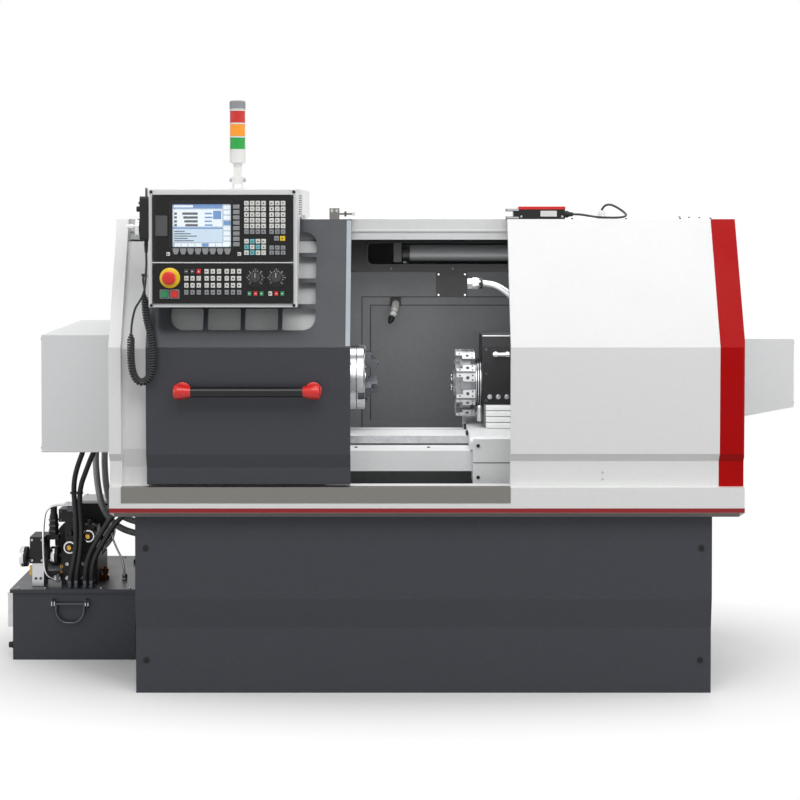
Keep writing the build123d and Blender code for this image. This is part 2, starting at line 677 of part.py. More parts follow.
with BuildPart() as door_window:
    pane_low, pane_high = GRILLE_Z[0] - 16, GRILLE_Z[1] + 14
    slope_per_mm = LEAN_BACK / (ROOF - LEAN_Z)
    near = front_outline(DOOR_THICK)[3]
    pane_y = [near[0] + (z - near[1]) * slope_per_mm for z in (pane_low, pane_high)]
    pane_section = [
        (pane_y[0], pane_low),
        (pane_y[1], pane_high),
        (pane_y[1] + 5, pane_high),
        (pane_y[0] + 5, pane_low),
    ]
    prism(at_x(GRILLE_X[0] - 16), pane_section, GRILLE_X[1] - GRILLE_X[0] + 32)
save(door_window, "door_window")

# Door handle: a tube between two rounded end brackets that taper towards it
HANDLE_Z = 941.0
HANDLE_Y = -560.0
GRIP_RADIUS = 16.0
with BuildPart() as door_handle:
    turned((-712, HANDLE_Y, HANDLE_Z), (1, 0, 0), [(0, 0), (0, GRIP_RADIUS), (348, GRIP_RADIUS), (348, 0)])
    for end_x, inwards in ((-755, 1), (-314, -1)):
        near_x = end_x + inwards * 52
        bracket_view = [(end_x, FRONT), (near_x - inwards * 8, FRONT), (near_x - inwards * 8, HANDLE_Y), (end_x, HANDLE_Y)]
        prism(Plane.XY.offset(HANDLE_Z - 18), bracket_view, 36)
        cap = [(0, 0), (0, 20), (4, 22), (16, 23), (32, 20.5), (44, 17.5), (52, GRIP_RADIUS), (52, 0)]
        turned((end_x, HANDLE_Y, HANDLE_Z), (inwards, 0, 0), cap)
save(door_handle, "door_handle")

# Door lock key on the door's top edge, and the interlock switch that it enters when the door closes
with BuildPart() as door_lock_key:
    block((-293, -262), (-352, -332), (DOOR_TOP, 1494))
    block((-262, -214), (-350, -334), (1473, 1479))
save(door_lock_key, "door_lock_key")

with BuildPart() as interlock_switch:
    block((300, 445), (-352, -312), (ROOF, 1498))
    block((261, 300), (-352, -312), (ROOF, 1492))
    block((260, 284), (-353, -311), (1468, 1484), mode=Mode.SUBTRACT)
    turned((445, -332, 1475), (1, 0, 0), [(0, 0), (0, 11), (12, 11), (14, 8), (27, 6), (27, 0)])
save(interlock_switch, "interlock_switch")

# Interlock cable: out of the switch, along the roof, and back in a raised loop to a gland on the roof
CABLE_RADIUS = 3.5
cable_route = [
    (472, -332, 1475),
    (492, -332, 1475),
    (517, -329, 1471),
    (546, -324, 1466),
    (578, -318, 1464.5),
    (612, -308, 1464),
    (638, -292, 1466),
    (650, -268, 1472),
    (644, -244, 1482),
    (626, -226, 1496),
    (604, -216, 1507),
    (584, -212, 1502),
    (577, -211, 1487),
]
with BuildPart() as interlock_cable:
    tube(cable_route, CABLE_RADIUS)
save(interlock_cable, "interlock_cable")

# Control box: a hollow box open at the front, with an arm over the door and the signal tower's bracket
with BuildPart() as control_box:
    box_section = [
        (BOX_FRONT, BOX_Z[0]),
        (BOX_FRONT, BOX_Z[1]),
        (BOX_REAR, BOX_Z[1]),
        (BOX_REAR, ROOF),
        (-318, ROOF),
        (-318, ROOF + 6),
        (-436, ROOF + 6),
        (-552, BOX_Z[0]),
    ]
    prism(at_x(BOX_X[0]), box_section, BOX_X[1] - BOX_X[0])
    front_face = control_box.faces().sort_by(Axis.Y)[0]
    fillet(front_face.edges(), radius=3)
    block((PLATE_X[0] + 6, PLATE_X[1] - 6), (BOX_FRONT - 1, -567), (1216, 1530), mode=Mode.SUBTRACT)
    block((BOX_X[1], BOX_X[1] + 12), (-352, -334), (ROOF + 1, ROOF + 13))
    turned((BOX_X[0], -551, 1293), (-1, 0, 0), [(0, 0), (0, 8), (4, 8), (11, 5), (11, 0)])
    round_bar(Plane.XY.offset(BOX_Z[1]), (TOWER_X, TOWER_Y), 26, 5)
    for side in (-1, 1):
        cheek_x = sorted((TOWER_X + side * 12, TOWER_X + side * 17))
        block(cheek_x, (TOWER_Y - 11, TOWER_Y + 11), (BOX_Z[1] + 5, TOWER_FOLD_Z + 10))
    round_bar(at_x(TOWER_X - 20), (TOWER_Y, TOWER_FOLD_Z), 4, 40)
save(control_box, "control_box")

# Display plate with its screen window and key fields
KEY_RISE = 1.5


def key_field(centre, columns, rows, pitch, size):
    """A grid of raised keys on a control plate."""
    with BuildSketch(at_y(PLATE_FRONT)) as keys:
        with Locations(centre):
            with GridLocations(pitch[0], pitch[1], columns, rows):
                Rectangle(*size)
    extrude(keys.sketch, amount=KEY_RISE)


DISPLAY_Z = (1334.0, 1535.0)
SCREEN_X = (-752.0, -576.0)
SCREEN_Z = (1378.0, 1508.0)
USB_X = (-800.0, -766.0)
USB_Z = (1412.0, 1473.0)
with BuildPart() as display_panel:
    block(PLATE_X, (PLATE_FRONT, BOX_FRONT), DISPLAY_Z)
    block(SCREEN_X, (PLATE_FRONT - 1, PLATE_FRONT + 2), SCREEN_Z, mode=Mode.SUBTRACT)
    block((USB_X[0] + 4, USB_X[1] - 4), (PLATE_FRONT - 1, BOX_FRONT - 1), (USB_Z[0] + 4, USB_Z[1] - 4), mode=Mode.SUBTRACT)
    key_field((-505, 1467), 4, 6, (17, 17), (14.5, 14.5))
    key_field((-438.5, 1467), 3, 6, (17, 17), (14.5, 14.5))
    key_field((-505, 1379), 4, 3, (17, 17), (14.5, 14.5))
    key_field((-438.5, 1369.5), 3, 2, (17, 15), (14.5, 13))
    key_field((-423, 1404.5), 1, 1, (17, 17), (16, 15))
    key_field((-664, 1364), 8, 1, (22, 17), (16, 9))
    key_field((-561, 1443), 1, 8, (17, 16), (11, 11))
save(display_panel, "display_panel")

# USB cover: a flap on a thin barrel at its left edge
FLAP_Y = (PLATE_FRONT - 3.3, PLATE_FRONT - 0.3)
with BuildPart() as usb_cover:
    block((USB_X[0] + 1, USB_X[1]), FLAP_Y, USB_Z)
    fillet(usb_cover.edges().filter_by(Axis.Y).group_by(Axis.X)[-1], radius=4)
    round_bar(Plane.XY.offset(USB_Z[0]), (USB_X[0], sum(FLAP_Y) / 2), 1.5, USB_Z[1] - USB_Z[0])
    block((USB_X[0], USB_X[0] + 2), (FLAP_Y[0] + 0.6, FLAP_Y[1] - 0.6), USB_Z)
save(usb_cover, "usb_cover")

# Operator plate with its key blocks, dials and the emergency stop's collar
OPERATOR_Z = (1210.0, 1331.0)
ESTOP = (-759.0, 1286.7)
START = (-775.0, 1238.5)
STOP = (-745.0, 1238.5)
FEED_DIAL = (-503.8, 1287.6)
SPINDLE_DIAL = (-441.8, 1287.6)
with BuildPart() as operator_panel:
    block(PLATE_X, (PLATE_FRONT, BOX_FRONT), OPERATOR_Z)
    for block_x in (-691.5, -631, -571):
        key_field((block_x, 1275), 3, 4, (18.5, 20.8), (13.5, 15))
    for dial in (FEED_DIAL, SPINDLE_DIAL):
        round_bar(at_y(PLATE_FRONT), dial, 28, 1)
        round_bar(at_y(BOX_FRONT), dial, 4.3, 8, mode=Mode.SUBTRACT)
        key_field((dial[0], 1240), 3, 1, (18, 17), (12, 14))
    turned((ESTOP[0], PLATE_FRONT, ESTOP[1]), (0, -1, 0), [(0, 0), (0, 30), (3, 30), (6, 24), (6, 0)])
    round_bar(at_y(BOX_FRONT), ESTOP, 11.3, 14, mode=Mode.SUBTRACT)
    for button in (START, STOP):
        pad(at_y(PLATE_FRONT), button, (28, 27), 3, 2.5)
        pad(at_y(BOX_FRONT), button, (22, 21), 3, 10, mode=Mode.SUBTRACT)
save(operator_panel, "operator_panel")

with BuildPart() as estop_button:
    mushroom = [(-4, 0), (-4, 11), (18, 11), (18, 19), (21, 20), (29, 20), (33, 16), (35, 8), (35, 0)]
    turned((ESTOP[0], PLATE_FRONT, ESTOP[1]), (0, -1, 0), mushroom)
save(estop_button, "estop_button")


def square_button(centre, name):
    """A push button that travels in its square opening."""
    with BuildPart() as button:
        pad(at_y(PLATE_FRONT + 4), centre, (21.4, 20.4), 2.5, 11)
        fillet(button.faces().sort_by(Axis.Y)[0].edges(), radius=1.5)
    save(button, name)


square_button(START, "start_button")
square_button(STOP, "stop_button")


def override_knob(centre, name):
    """A selector knob with a pointer ridge, on a short shaft."""
    with BuildPart() as knob:
        knob_outline = [(-4, 0), (-4, 4), (1.4, 4), (1.4, 17), (4, 17), (16, 14), (18, 12), (18, 0)]
        turned((centre[0], PLATE_FRONT, centre[1]), (0, -1, 0), knob_outline)
        block((centre[0] - 2.5, centre[0] + 2.5), (PLATE_FRONT - 22, PLATE_FRONT - 15), (centre[1] - 12, centre[1] + 15))
    save(knob, name)


override_knob(FEED_DIAL, "feed_knob")
override_knob(SPINDLE_DIAL, "spindle_knob")

# Handwheel pendant, parked on the box's left side, with its wheel facing outwards
PENDANT_X = (-850.0, BOX_X[0])
PENDANT_Y = -562.0
WHEEL_Z = 1436.0
with BuildPart() as pendant_body:
    block(PENDANT_X, (PENDANT_Y - 37, PENDANT_Y + 37), (1400, 1530))
    fillet(pendant_body.edges().filter_by(Axis.X), radius=9)
    turned((PENDANT_X[0], PENDANT_Y, 1492), (-1, 0, 0), [(0, 0), (0, 12), (3, 12), (3, 9), (14, 8), (14, 0)])
    round_bar(at_x(PENDANT_X[0] - 2), (PENDANT_Y, WHEEL_Z), 31, 2)
    round_bar(at_x(PENDANT_X[0] - 2), (PENDANT_Y, WHEEL_Z), 4.3, 8, mode=Mode.SUBTRACT)
    turned((-836, PENDANT_Y, 1400), (0, 0, -1), [(0, 0), (0, 7), (4, 7), (12, 4.5), (12, 0)])
save(pendant_body, "pendant_body")

with BuildPart() as pendant_wheel:
    wheel_outline = [(-6, 0), (-6, 4), (2.4, 4), (2.4, 26), (4, 28), (14, 28), (16, 26), (16, 20), (12, 18), (12, 8), (17, 7), (17, 0)]
    turned((PENDANT_X[0], PENDANT_Y, WHEEL_Z), (-1, 0, 0), wheel_outline)
    turned((PENDANT_X[0] - 12, PENDANT_Y - 18, WHEEL_Z + 4), (-1, 0, 0), [(0, 0), (0, 4), (6, 4), (8, 7), (28, 5.5), (32, 3), (32, 0)])
save(pendant_wheel, "pendant_wheel")

# Pendant cord: a lead from the pendant crosses in front and drops into a curly part that hangs in a loop,
# and the loop's other side rises to a gland on the box's left wall
LEAD_RADIUS = 3.3
COIL_RADIUS = 13.0
pendant_lead = [
    (-836, -562, 1388),
    (-836, -562, 1358),
    (-835, -563, 1326),
    (-837, -564, 1294),
    (-839, -564, 1262),
    (-844, -563, 1236),
    (-856, -561, 1215),
    (-869, -558, 1196),
    (-876, -554, 1174),
    (-882, -548, 1148),
    (-885, -542, 1118),
]
curly_part = [
    (-885, -542, 1118),
    (-887, -538, 1074),
    (-886, -538, 1028),
    (-879, -539, 988),
    (-860, -541, 966),
    (-836, -543, 974),
    (-821, -544, 1004),
    (-818, -545, 1046),
    (-821, -545, 1092),
    (-830, -546, 1134),
    (-841, -546, 1174),
    (-843, -546, 1236),
]
wall_lead = [
    (-843, -546, 1236),
    (-844, -547, 1255),
    (-847, -549, 1272),
    (-848, -550, 1286),
    (-842, -551, 1293),
    (-835, -551, 1293),
]
with BuildPart() as pendant_cord:
    tube(pendant_lead, LEAD_RADIUS)
    tube(curly_part, COIL_RADIUS)
    tube(wall_lead, LEAD_RADIUS)
save(pendant_cord, "pendant_cord")

# Signal tower: its foot turns in the bracket on the control box
LENS_RADIUS = 25.0
LENS_BOTTOM = 1680.0
LENS_HEIGHT = 42.0
with BuildPart() as tower_column:
    block((TOWER_X - 11.7, TOWER_X + 11.7), (TOWER_Y - 11, TOWER_Y + 11), (TOWER_FOLD_Z - 14, 1626))
    round_bar(at_x(TOWER_X - 12), (TOWER_Y, TOWER_FOLD_Z), 4.05, 24, mode=Mode.SUBTRACT)
    base_outline = [(1626, 0), (1626, 14), (1634, 14), (1638, LENS_RADIUS), (LENS_BOTTOM, LENS_RADIUS), (LENS_BOTTOM, 0)]
    turned((TOWER_X, TOWER_Y, 0), (0, 0, 1), base_outline)
    cap_bottom = LENS_BOTTOM + 3 * LENS_HEIGHT
    cap_outline = [(cap_bottom, 0), (cap_bottom, LENS_RADIUS), (1830, LENS_RADIUS), (1833, LENS_RADIUS - 4), (1833, 0)]
    turned((TOWER_X, TOWER_Y, 0), (0, 0, 1), cap_outline)
save(tower_column, "tower_column")

with BuildPart() as tower_lenses:
    for level in range(3):
        low = LENS_BOTTOM + level * LENS_HEIGHT
        lens = [(low, 0), (low, LENS_RADIUS), (low + 38, LENS_RADIUS), (low + 38, 22), (low + LENS_HEIGHT, 22), (low + LENS_HEIGHT, 0)]
        turned((TOWER_X, TOWER_Y, 0), (0, 0, 1), lens)
save(tower_lenses, "tower_lenses")

# Hydraulic tank beside the base, with a rim, a sight gauge, a drain plug and the clips of its drop handle
TANK_X = (-1351.0, -946.0)
TANK_Y = (-86.0, 420.0)
TANK_TOP = 235.0
HANDLE_PIVOT_Z = 188.0
HANDLE_SPAN = (-1205.0, -1112.0)
BAIL_Y = TANK_Y[0] - 14
PIN_RADIUS = 3.0
with BuildPart() as tank:
    block(TANK_X, TANK_Y, (0, TANK_TOP - 12))
    block((TANK_X[0] - 8, TANK_X[1] + 8), (TANK_Y[0] - 8, TANK_Y[1] + 8), (TANK_TOP - 12, TANK_TOP))
    tank_hollow = ((TANK_X[0] + 4, TANK_X[1] - 4), (TANK_Y[0] + 4, TANK_Y[1] - 4), (4, TANK_TOP - 4))
    block(*tank_hollow, mode=Mode.SUBTRACT)
    round_bar(Plane.XY.offset(TANK_TOP - 5), (-1165, 150), 50, 6, mode=Mode.SUBTRACT)
    block((TANK_X[0] - 10, TANK_X[0]), (-40, -15), (100, 210))
    turned((TANK_X[0], 0, 35), (-1, 0, 0), [(0, 0), (0, 12), (12, 12), (12, 0)])
    for clip_x in ((HANDLE_SPAN[0] - 12, HANDLE_SPAN[0] - 6), (HANDLE_SPAN[1] + 6, HANDLE_SPAN[1] + 12)):
        block(clip_x, (BAIL_Y - 7, TANK_Y[0]), (HANDLE_PIVOT_Z - 8, HANDLE_PIVOT_Z + 8))
    pin_hole = (BAIL_Y, HANDLE_PIVOT_Z)
    round_bar(at_x(HANDLE_SPAN[0] - 20), pin_hole, PIN_RADIUS + 0.05, 140, mode=Mode.SUBTRACT)
save(tank, "tank")

with BuildPart() as tank_handle:
    bail = [
        (HANDLE_SPAN[0], BAIL_Y, HANDLE_PIVOT_Z),
        (HANDLE_SPAN[0], BAIL_Y, HANDLE_PIVOT_Z - 34),
        (HANDLE_SPAN[0] + 22, BAIL_Y, HANDLE_PIVOT_Z - 62),
        (HANDLE_SPAN[1] - 22, BAIL_Y, HANDLE_PIVOT_Z - 62),
        (HANDLE_SPAN[1], BAIL_Y, HANDLE_PIVOT_Z - 34),
        (HANDLE_SPAN[1], BAIL_Y, HANDLE_PIVOT_Z),
    ]
    tube(bail, 4)
    pin_length = HANDLE_SPAN[1] - HANDLE_SPAN[0] + 24
    pivot_pin = [(0, 0), (0, PIN_RADIUS), (pin_length, PIN_RADIUS), (pin_length, 0)]
    turned((HANDLE_SPAN[0] - 12, BAIL_Y, HANDLE_PIVOT_Z), (1, 0, 0), pivot_pin)
save(tank_handle, "tank_handle")

# Pump motor: it lies on the tank's deck behind the valve block, with its terminal box on top
PUMP_X = -1165.0
PUMP_Z = 352.0
with BuildPart() as pump_motor:
    pump_outline = [(0, 0), (0, 48), (30, 48), (34, 84), (54, 84), (58, 78), (230, 78), (234, 84), (262, 84), (270, 76), (270, 0)]
    turned((PUMP_X, 66, PUMP_Z), (0, 1, 0), pump_outline)
    block((PUMP_X - 62, PUMP_X + 62), (130, 290), (TANK_TOP, 290))
    block((PUMP_X - 2, PUMP_X + 96), (120, 240), (400, 482))
    block((PUMP_X - 6, PUMP_X + 100), (116, 244), (482, 490))
save(pump_motor, "pump_motor")

# Valve block: the stack with its two solenoid coils, the pressure switch and the two gauges that face left
COIL_FRONT = [(0, 0), (0, 22), (30, 22), (34, 19), (42, 19), (42, 8), (48, 8), (48, 0)]
GAUGE = [(0, 0), (0, 8), (8, 8), (8, 28), (10, 33), (30, 33), (32, 31), (32, 0)]
with BuildPart() as valve_block:
    block((-1203, -1082), (-20, 60), (TANK_TOP, 342))
    block((-1190, -1086), (-16, 56), (342, 388))
    block((-1128, -1084), (-16, 40), (388, 428))
    turned((-1168, -16, 366), (0, -1, 0), COIL_FRONT)
    turned((-1106, -16, 404), (0, -1, 0), COIL_FRONT)
    block((-1294, -1256), (-50, 20), (TANK_TOP, 314))
    block((-1300, -1251), (-60, 30), (314, 402))
    turned((-1230, -10, 402), (0, 0, 1), [(0, 0), (0, 16), (60, 14), (72, 11), (92, 11), (92, 0)])
    block((-1264, -1203), (-20, 10), (252, 280))
    block((-1251, -1212), (-26, 6), (386, 402))
    turned((-1300, -40, 333), (-1, 0, 0), GAUGE)
    turned((-1203, -14, 330), (-1, 0, 0), GAUGE)
save(valve_block, "valve_block")

# Service hoses: two black and two braided ones from the pulley cover, and two black ones from the base's side
HOSE_RADIUS = 8.5
BRAID_RADIUS = 11.0
black_hoses = [
    [
        (-1118, -66, 720),
        (-1118, -66, 694),
        (-1134, -68, 654),
        (-1148, -70, 606),
        (-1151, -74, 560),
        (-1147, -78, 520),
        (-1143, -80, 477),
        (-1142, -82, 420),
        (-1142, -84, 376),
        (-1150, -82, 326),
        (-1161, -72, 284),
        (-1166, -62, 258),
        (-1166, -62, TANK_TOP),
    ],
    [
        (-1082, -60, 720),
        (-1082, -60, 694),
        (-1096, -62, 664),
        (-1113, -66, 618),
        (-1128, -71, 576),
        (-1132, -76, 526),
        (-1127, -80, 477),
        (-1124, -82, 420),
        (-1126, -84, 376),
        (-1133, -82, 326),
        (-1142, -70, 284),
        (-1145, -60, 258),
        (-1145, -60, TANK_TOP),
    ],
    [
        (-886, -66, 520),
        (-926, -66, 520),
        (-972, -68, 512),
        (-1012, -72, 486),
        (-1042, -76, 450),
        (-1066, -80, 407),
        (-1091, -82, 366),
        (-1106, -82, 326),
        (-1113, -74, 284),
        (-1115, -62, 258),
        (-1115, -62, TANK_TOP),
    ],
    [
        (-886, -66, 496),
        (-922, -66, 496),
        (-960, -67, 490),
        (-997, -71, 468),
        (-1025, -75, 434),
        (-1047, -79, 398),
        (-1070, -81, 360),
        (-1086, -81, 322),
        (-1092, -72, 284),
        (-1094, -62, 258),
        (-1094, -62, TANK_TOP),
    ],
]
braided_hoses = [
    [
        (-1100, 60, 720),
        (-1100, 60, 690),
        (-1102, 60, 650),
        (-1100, 60, 600),
        (-1094, 60, 545),
        (-1084, 62, 492),
        (-1062, 66, 444),
        (-1028, 76, 408),
        (-980, 88, 386),
        (-930, 94, 378),
        (-886, 94, 378),
    ],
    [
        (-1074, 88, 720),
        (-1074, 88, 690),
        (-1077, 88, 650),
        (-1076, 88, 600),
        (-1072, 88, 548),
        (-1062, 90, 500),
        (-1040, 96, 458),
        (-1004, 108, 430),
        (-960, 118, 416),
        (-922, 122, 410),
        (-886, 122, 410),
    ],
]
with BuildPart() as service_hoses:
    for hose_route in black_hoses:
        tube(hose_route, HOSE_RADIUS)
    for hose_route in braided_hoses:
        tube(hose_route, BRAID_RADIUS)
save(service_hoses, "service_hoses")
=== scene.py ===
# Looks of the CNC turning lathe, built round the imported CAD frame. Lengths in the tables are millimetres.
from itertools import product
from math import cos, pi, radians, sin

import bmesh
import bpy
from mathutils import Matrix, Vector


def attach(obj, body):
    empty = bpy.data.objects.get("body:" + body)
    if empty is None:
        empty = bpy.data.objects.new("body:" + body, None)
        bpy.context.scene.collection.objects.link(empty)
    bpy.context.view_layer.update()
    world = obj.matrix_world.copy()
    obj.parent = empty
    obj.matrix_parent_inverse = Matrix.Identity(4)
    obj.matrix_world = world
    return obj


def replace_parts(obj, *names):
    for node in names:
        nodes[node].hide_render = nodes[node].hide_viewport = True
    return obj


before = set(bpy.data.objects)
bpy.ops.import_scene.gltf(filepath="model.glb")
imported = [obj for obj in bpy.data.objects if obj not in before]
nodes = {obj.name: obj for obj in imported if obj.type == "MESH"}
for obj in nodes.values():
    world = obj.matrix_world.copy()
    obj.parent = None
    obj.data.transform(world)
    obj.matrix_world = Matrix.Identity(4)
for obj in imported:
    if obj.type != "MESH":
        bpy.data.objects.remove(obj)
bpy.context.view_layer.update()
scene = bpy.context.scene
MM = 0.001
LEFT, RIGHT = (-1, 0, 0), (1, 0, 0)
FRONT, BACK = (0, -1, 0), (0, 1, 0)
UP, DOWN = (0, 0, 1), (0, 0, -1)


def linked(name, data):
    """A new object in the scene."""
    made = bpy.data.objects.new(name, data)
    scene.collection.objects.link(made)
    return made


def mesh_from(curve_object):
    """The mesh of a curve object, which is then removed."""
    bpy.context.view_layer.update()
    shown = curve_object.evaluated_get(bpy.context.evaluated_depsgraph_get())
    data = bpy.data.meshes.new_from_object(shown)
    bpy.data.objects.remove(curve_object)
    return data


# Materials

def linear(colour):
    """A colour written as rrggbb in display values, as linear values."""
    parts = [int(colour[i : i + 2], 16) / 255 for i in (0, 2, 4)]
    return [p / 12.92 if p <= 0.04045 else ((p + 0.055) / 1.055) ** 2.4 for p in parts]


def shader(name):
    """A new material with its node tree, its shader and its object coordinates."""
    material = bpy.data.materials.new(name)
    material.use_nodes = True
    tree = material.node_tree
    principled = tree.nodes["Principled BSDF"]
    place = tree.nodes.new("ShaderNodeTexCoord")
    return material, tree, principled, place


def fill(tree, node, inputs):
    """Give each input its value, or link it where the value is another node's output."""
    for socket, value in inputs.items():
        if isinstance(value, bpy.types.NodeSocket):
            tree.links.new(value, node.inputs[socket])
        else:
            node.inputs[socket].default_value = value


def new_node(tree, kind, inputs, **settings):
    """A shader node with its settings and its inputs."""
    node = tree.nodes.new("ShaderNode" + kind)
    for setting, value in settings.items():
        setattr(node, setting, value)
    fill(tree, node, inputs)
    return node


def scaled(tree, place, scale, output="Object"):
    """The object's coordinates, stretched by a scale for each axis."""
    return new_node(tree, "Mapping", {"Vector": place.outputs[output], "Scale": scale}).outputs["Vector"]


def noise(tree, vector, scale, detail=4.0):
    """A noise texture's value."""
    inputs = {"Vector": vector, "Scale": scale, "Detail": detail, "Roughness": 0.6}
    return new_node(tree, "TexNoise", inputs).outputs["Fac"]


def ranged(tree, value, low, high, start=0.3, end=0.7):
    """A value mapped from start..end to low..high."""
    inputs = {"Value": value, "From Min": start, "From Max": end, "To Min": low, "To Max": high}
    return new_node(tree, "MapRange", inputs).outputs["Result"]


def mixed(tree, factor, first, second):
    """Two colours mixed by a factor. The node's inputs 6 and 7 are its colours."""
    inputs = {0: factor, 6: (*first, 1.0), 7: (*second, 1.0)}
    return new_node(tree, "Mix", inputs, data_type="RGBA").outputs[2]


def bumped(tree, height, strength, distance):
    """A bump's normal from a height value."""
    inputs = {"Height": height, "Strength": strength, "Distance": distance}
    return new_node(tree, "Bump", inputs).outputs["Normal"]


def finish_of(name, colour, rough, vary, peel, depth, metal=0.0, grain=60.0, stretch=(1, 1, 1),
              rough_vary=0.06, coat=0.0, alpha=1.0, specular=0.5):
    """A painted, moulded or machined finish: slow colour drift, fine grain and a fine bump."""
    material, tree, principled, place = shader(name)
    vector = scaled(tree, place, stretch)
    base = linear(colour)
    darker = [c * (1 - vary) for c in base]
    lighter = [min(1.0, c * (1 + vary)) for c in base]
    fill(tree, principled, {
        "Base Color": mixed(tree, ranged(tree, noise(tree, vector, grain), 0, 1), darker, lighter),
        "Roughness": ranged(tree, noise(tree, vector, grain / 9), rough - rough_vary, rough + rough_vary),
        "Normal": bumped(tree, noise(tree, vector, peel, 2.0), depth, 0.0004),
        "Metallic": metal,
        "Specular IOR Level": specular,
    })
    if coat:
        fill(tree, principled, {"Coat Weight": coat, "Coat Roughness": 0.12})
    if alpha < 1:
        fill(tree, principled, {"Alpha": alpha})
    return material


# Each finish: name, colour, roughness, colour drift, scale of the bump and its depth
BRUSHED_ALONG_X = (1.2, 60, 60)
charcoal = finish_of("charcoal_powder_coat", "3d3f45", 0.4, 0.05, 900, 0.25, coat=0.15, specular=0.25)
base_paint = finish_of("base_powder_coat", "42444a", 0.48, 0.05, 900, 0.3, specular=0.25)
white_paint = finish_of("white_powder_coat", "e9eae9", 0.36, 0.012, 900, 0.25)
red_paint = finish_of("red_gloss_paint", "ae0406", 0.42, 0.03, 500, 0.12, specular=0.12)
grey_paint = finish_of("light_grey_powder_coat", "e2e3e4", 0.42, 0.015, 900, 0.3)
wall_paint = finish_of("interior_paint", "76787b", 0.45, 0.05, 700, 0.3)
shelf_paint = finish_of("shelf_paint", "222223", 0.55, 0.06, 700, 0.3, specular=0.2)
# the next finish is painted shade, laid along the rear wall's steps
step_shade_paint = finish_of("painted_step_shade", "2a2d33", 0.4, 0.05, 900, 0.3, specular=0.25)
stainless = finish_of("brushed_stainless", "7e7c77", 0.34, 0.1, 60, 0.2, 1.0, grain=30,
                      stretch=BRUSHED_ALONG_X)
steel = finish_of("ground_steel", "bdbec0", 0.27, 0.12, 500, 0.12, 1.0, grain=40)
dark_steel = finish_of("oiled_steel", "55565a", 0.36, 0.15, 400, 0.2, 1.0, grain=50)
cast_grey = finish_of("painted_casting", "6d6f70", 0.55, 0.08, 260, 0.6)
black_cast = finish_of("black_casting", "1d1d1f", 0.45, 0.12, 260, 0.6, specular=0.3)
chrome = finish_of("polished_chrome", "d9dadb", 0.12, 0.03, 200, 0.03, 1.0, rough_vary=0.03)
aluminium = finish_of("satin_aluminium", "c9cacb", 0.33, 0.06, 600, 0.12, 1.0, grain=40)
brass = finish_of("brass", "c69a4a", 0.3, 0.1, 300, 0.1, 1.0, grain=60)
black_plastic = finish_of("black_moulded_plastic", "1c1c1d", 0.42, 0.1, 1300, 0.5, specular=0.3)
panel_black = finish_of("control_membrane", "202021", 0.4, 0.06, 1500, 0.3, specular=0.2)
grey_plastic = finish_of("grey_moulded_plastic", "8d8f92", 0.45, 0.05, 1300, 0.4)
white_plastic = finish_of("white_moulded_plastic", "e4e4e1", 0.38, 0.02, 1300, 0.3)
key_white = finish_of("white_key", "dedfda", 0.4, 0.03, 1300, 0.3)
key_grey = finish_of("grey_key", "8f9193", 0.42, 0.04, 1300, 0.3)
red_plastic = finish_of("red_plastic", "dd1c14", 0.28, 0.05, 900, 0.15, coat=0.25)
yellow_plastic = finish_of("yellow_plastic", "efc71c", 0.35, 0.04, 900, 0.2)
green_plastic = finish_of("green_plastic", "178a55", 0.3, 0.05, 900, 0.15, coat=0.2)
rubber = finish_of("black_rubber", "1a1a1b", 0.6, 0.15, 700, 0.7)
cord_skin = finish_of("cord_jacket", "2a2b2d", 0.5, 0.1, 900, 0.4)
copper = finish_of("copper_fitting", "b87040", 0.3, 0.12, 300, 0.1, 1.0, grain=60)
stripe_red = finish_of("stripe_film", "8f0d12", 0.35, 0.03, 600, 0.1)
lamp_black = finish_of("lamp_end_plastic", "232425", 0.4, 0.08, 900, 0.3)
flap_plastic = finish_of("flap_plastic", "4a4a4c", 0.4, 0.05, 1300, 0.3)
knob_plastic = finish_of("knob_plastic", "3c3c3e", 0.42, 0.06, 1300, 0.4)
# a darker copy of the tray's paint for its underside bevel: painted shade
bevel_shade_paint = finish_of("painted_tray_bevel_shade", "7b7672", 0.5, 0.05, 900, 0.3)
disc_steel = finish_of("turret_disc_steel", "8f9194", 0.38, 0.06, 500, 0.15, 0.7, grain=40)
turret_steel = finish_of("bright_turret_steel", "d2d4d6", 0.34, 0.04, 500, 0.12, 0.5, grain=40)
# flat white paint standing in for the bright reflection of the ground ways: painted reflection
way_reflection_white = finish_of("painted_way_reflection", "f2f3f3", 0.34, 0.03, 400, 0.1, grain=40)
# a light bluish paint that stands for the light caught by the door's edge: painted highlight
edge_highlight_paint = finish_of("painted_door_edge_highlight", "a9b0b8", 0.4, 0.03, 900, 0.25)
gloss_black = finish_of("gloss_black_plastic", "131315", 0.2, 0.08, 900, 0.1, coat=0.15, specular=0.3)
key_cyan = finish_of("cyan_key", "6fb9c4", 0.4, 0.03, 1300, 0.3)
key_dark = finish_of("dark_key", "3a3b3d", 0.42, 0.05, 1300, 0.3)


def glow_of(name, colour, strength):
    """A lit screen colour or a signal lens. The amber one also gives the tank's oil level window a painted
    glow, though that window is no lamp.
    """
    material = finish_of(name, colour, 0.3, 0.02, 300, 0.02)
    tree = material.node_tree
    glow = {"Emission Color": (*linear(colour), 1), "Emission Strength": strength}
    fill(tree, tree.nodes["Principled BSDF"], glow)
    return material


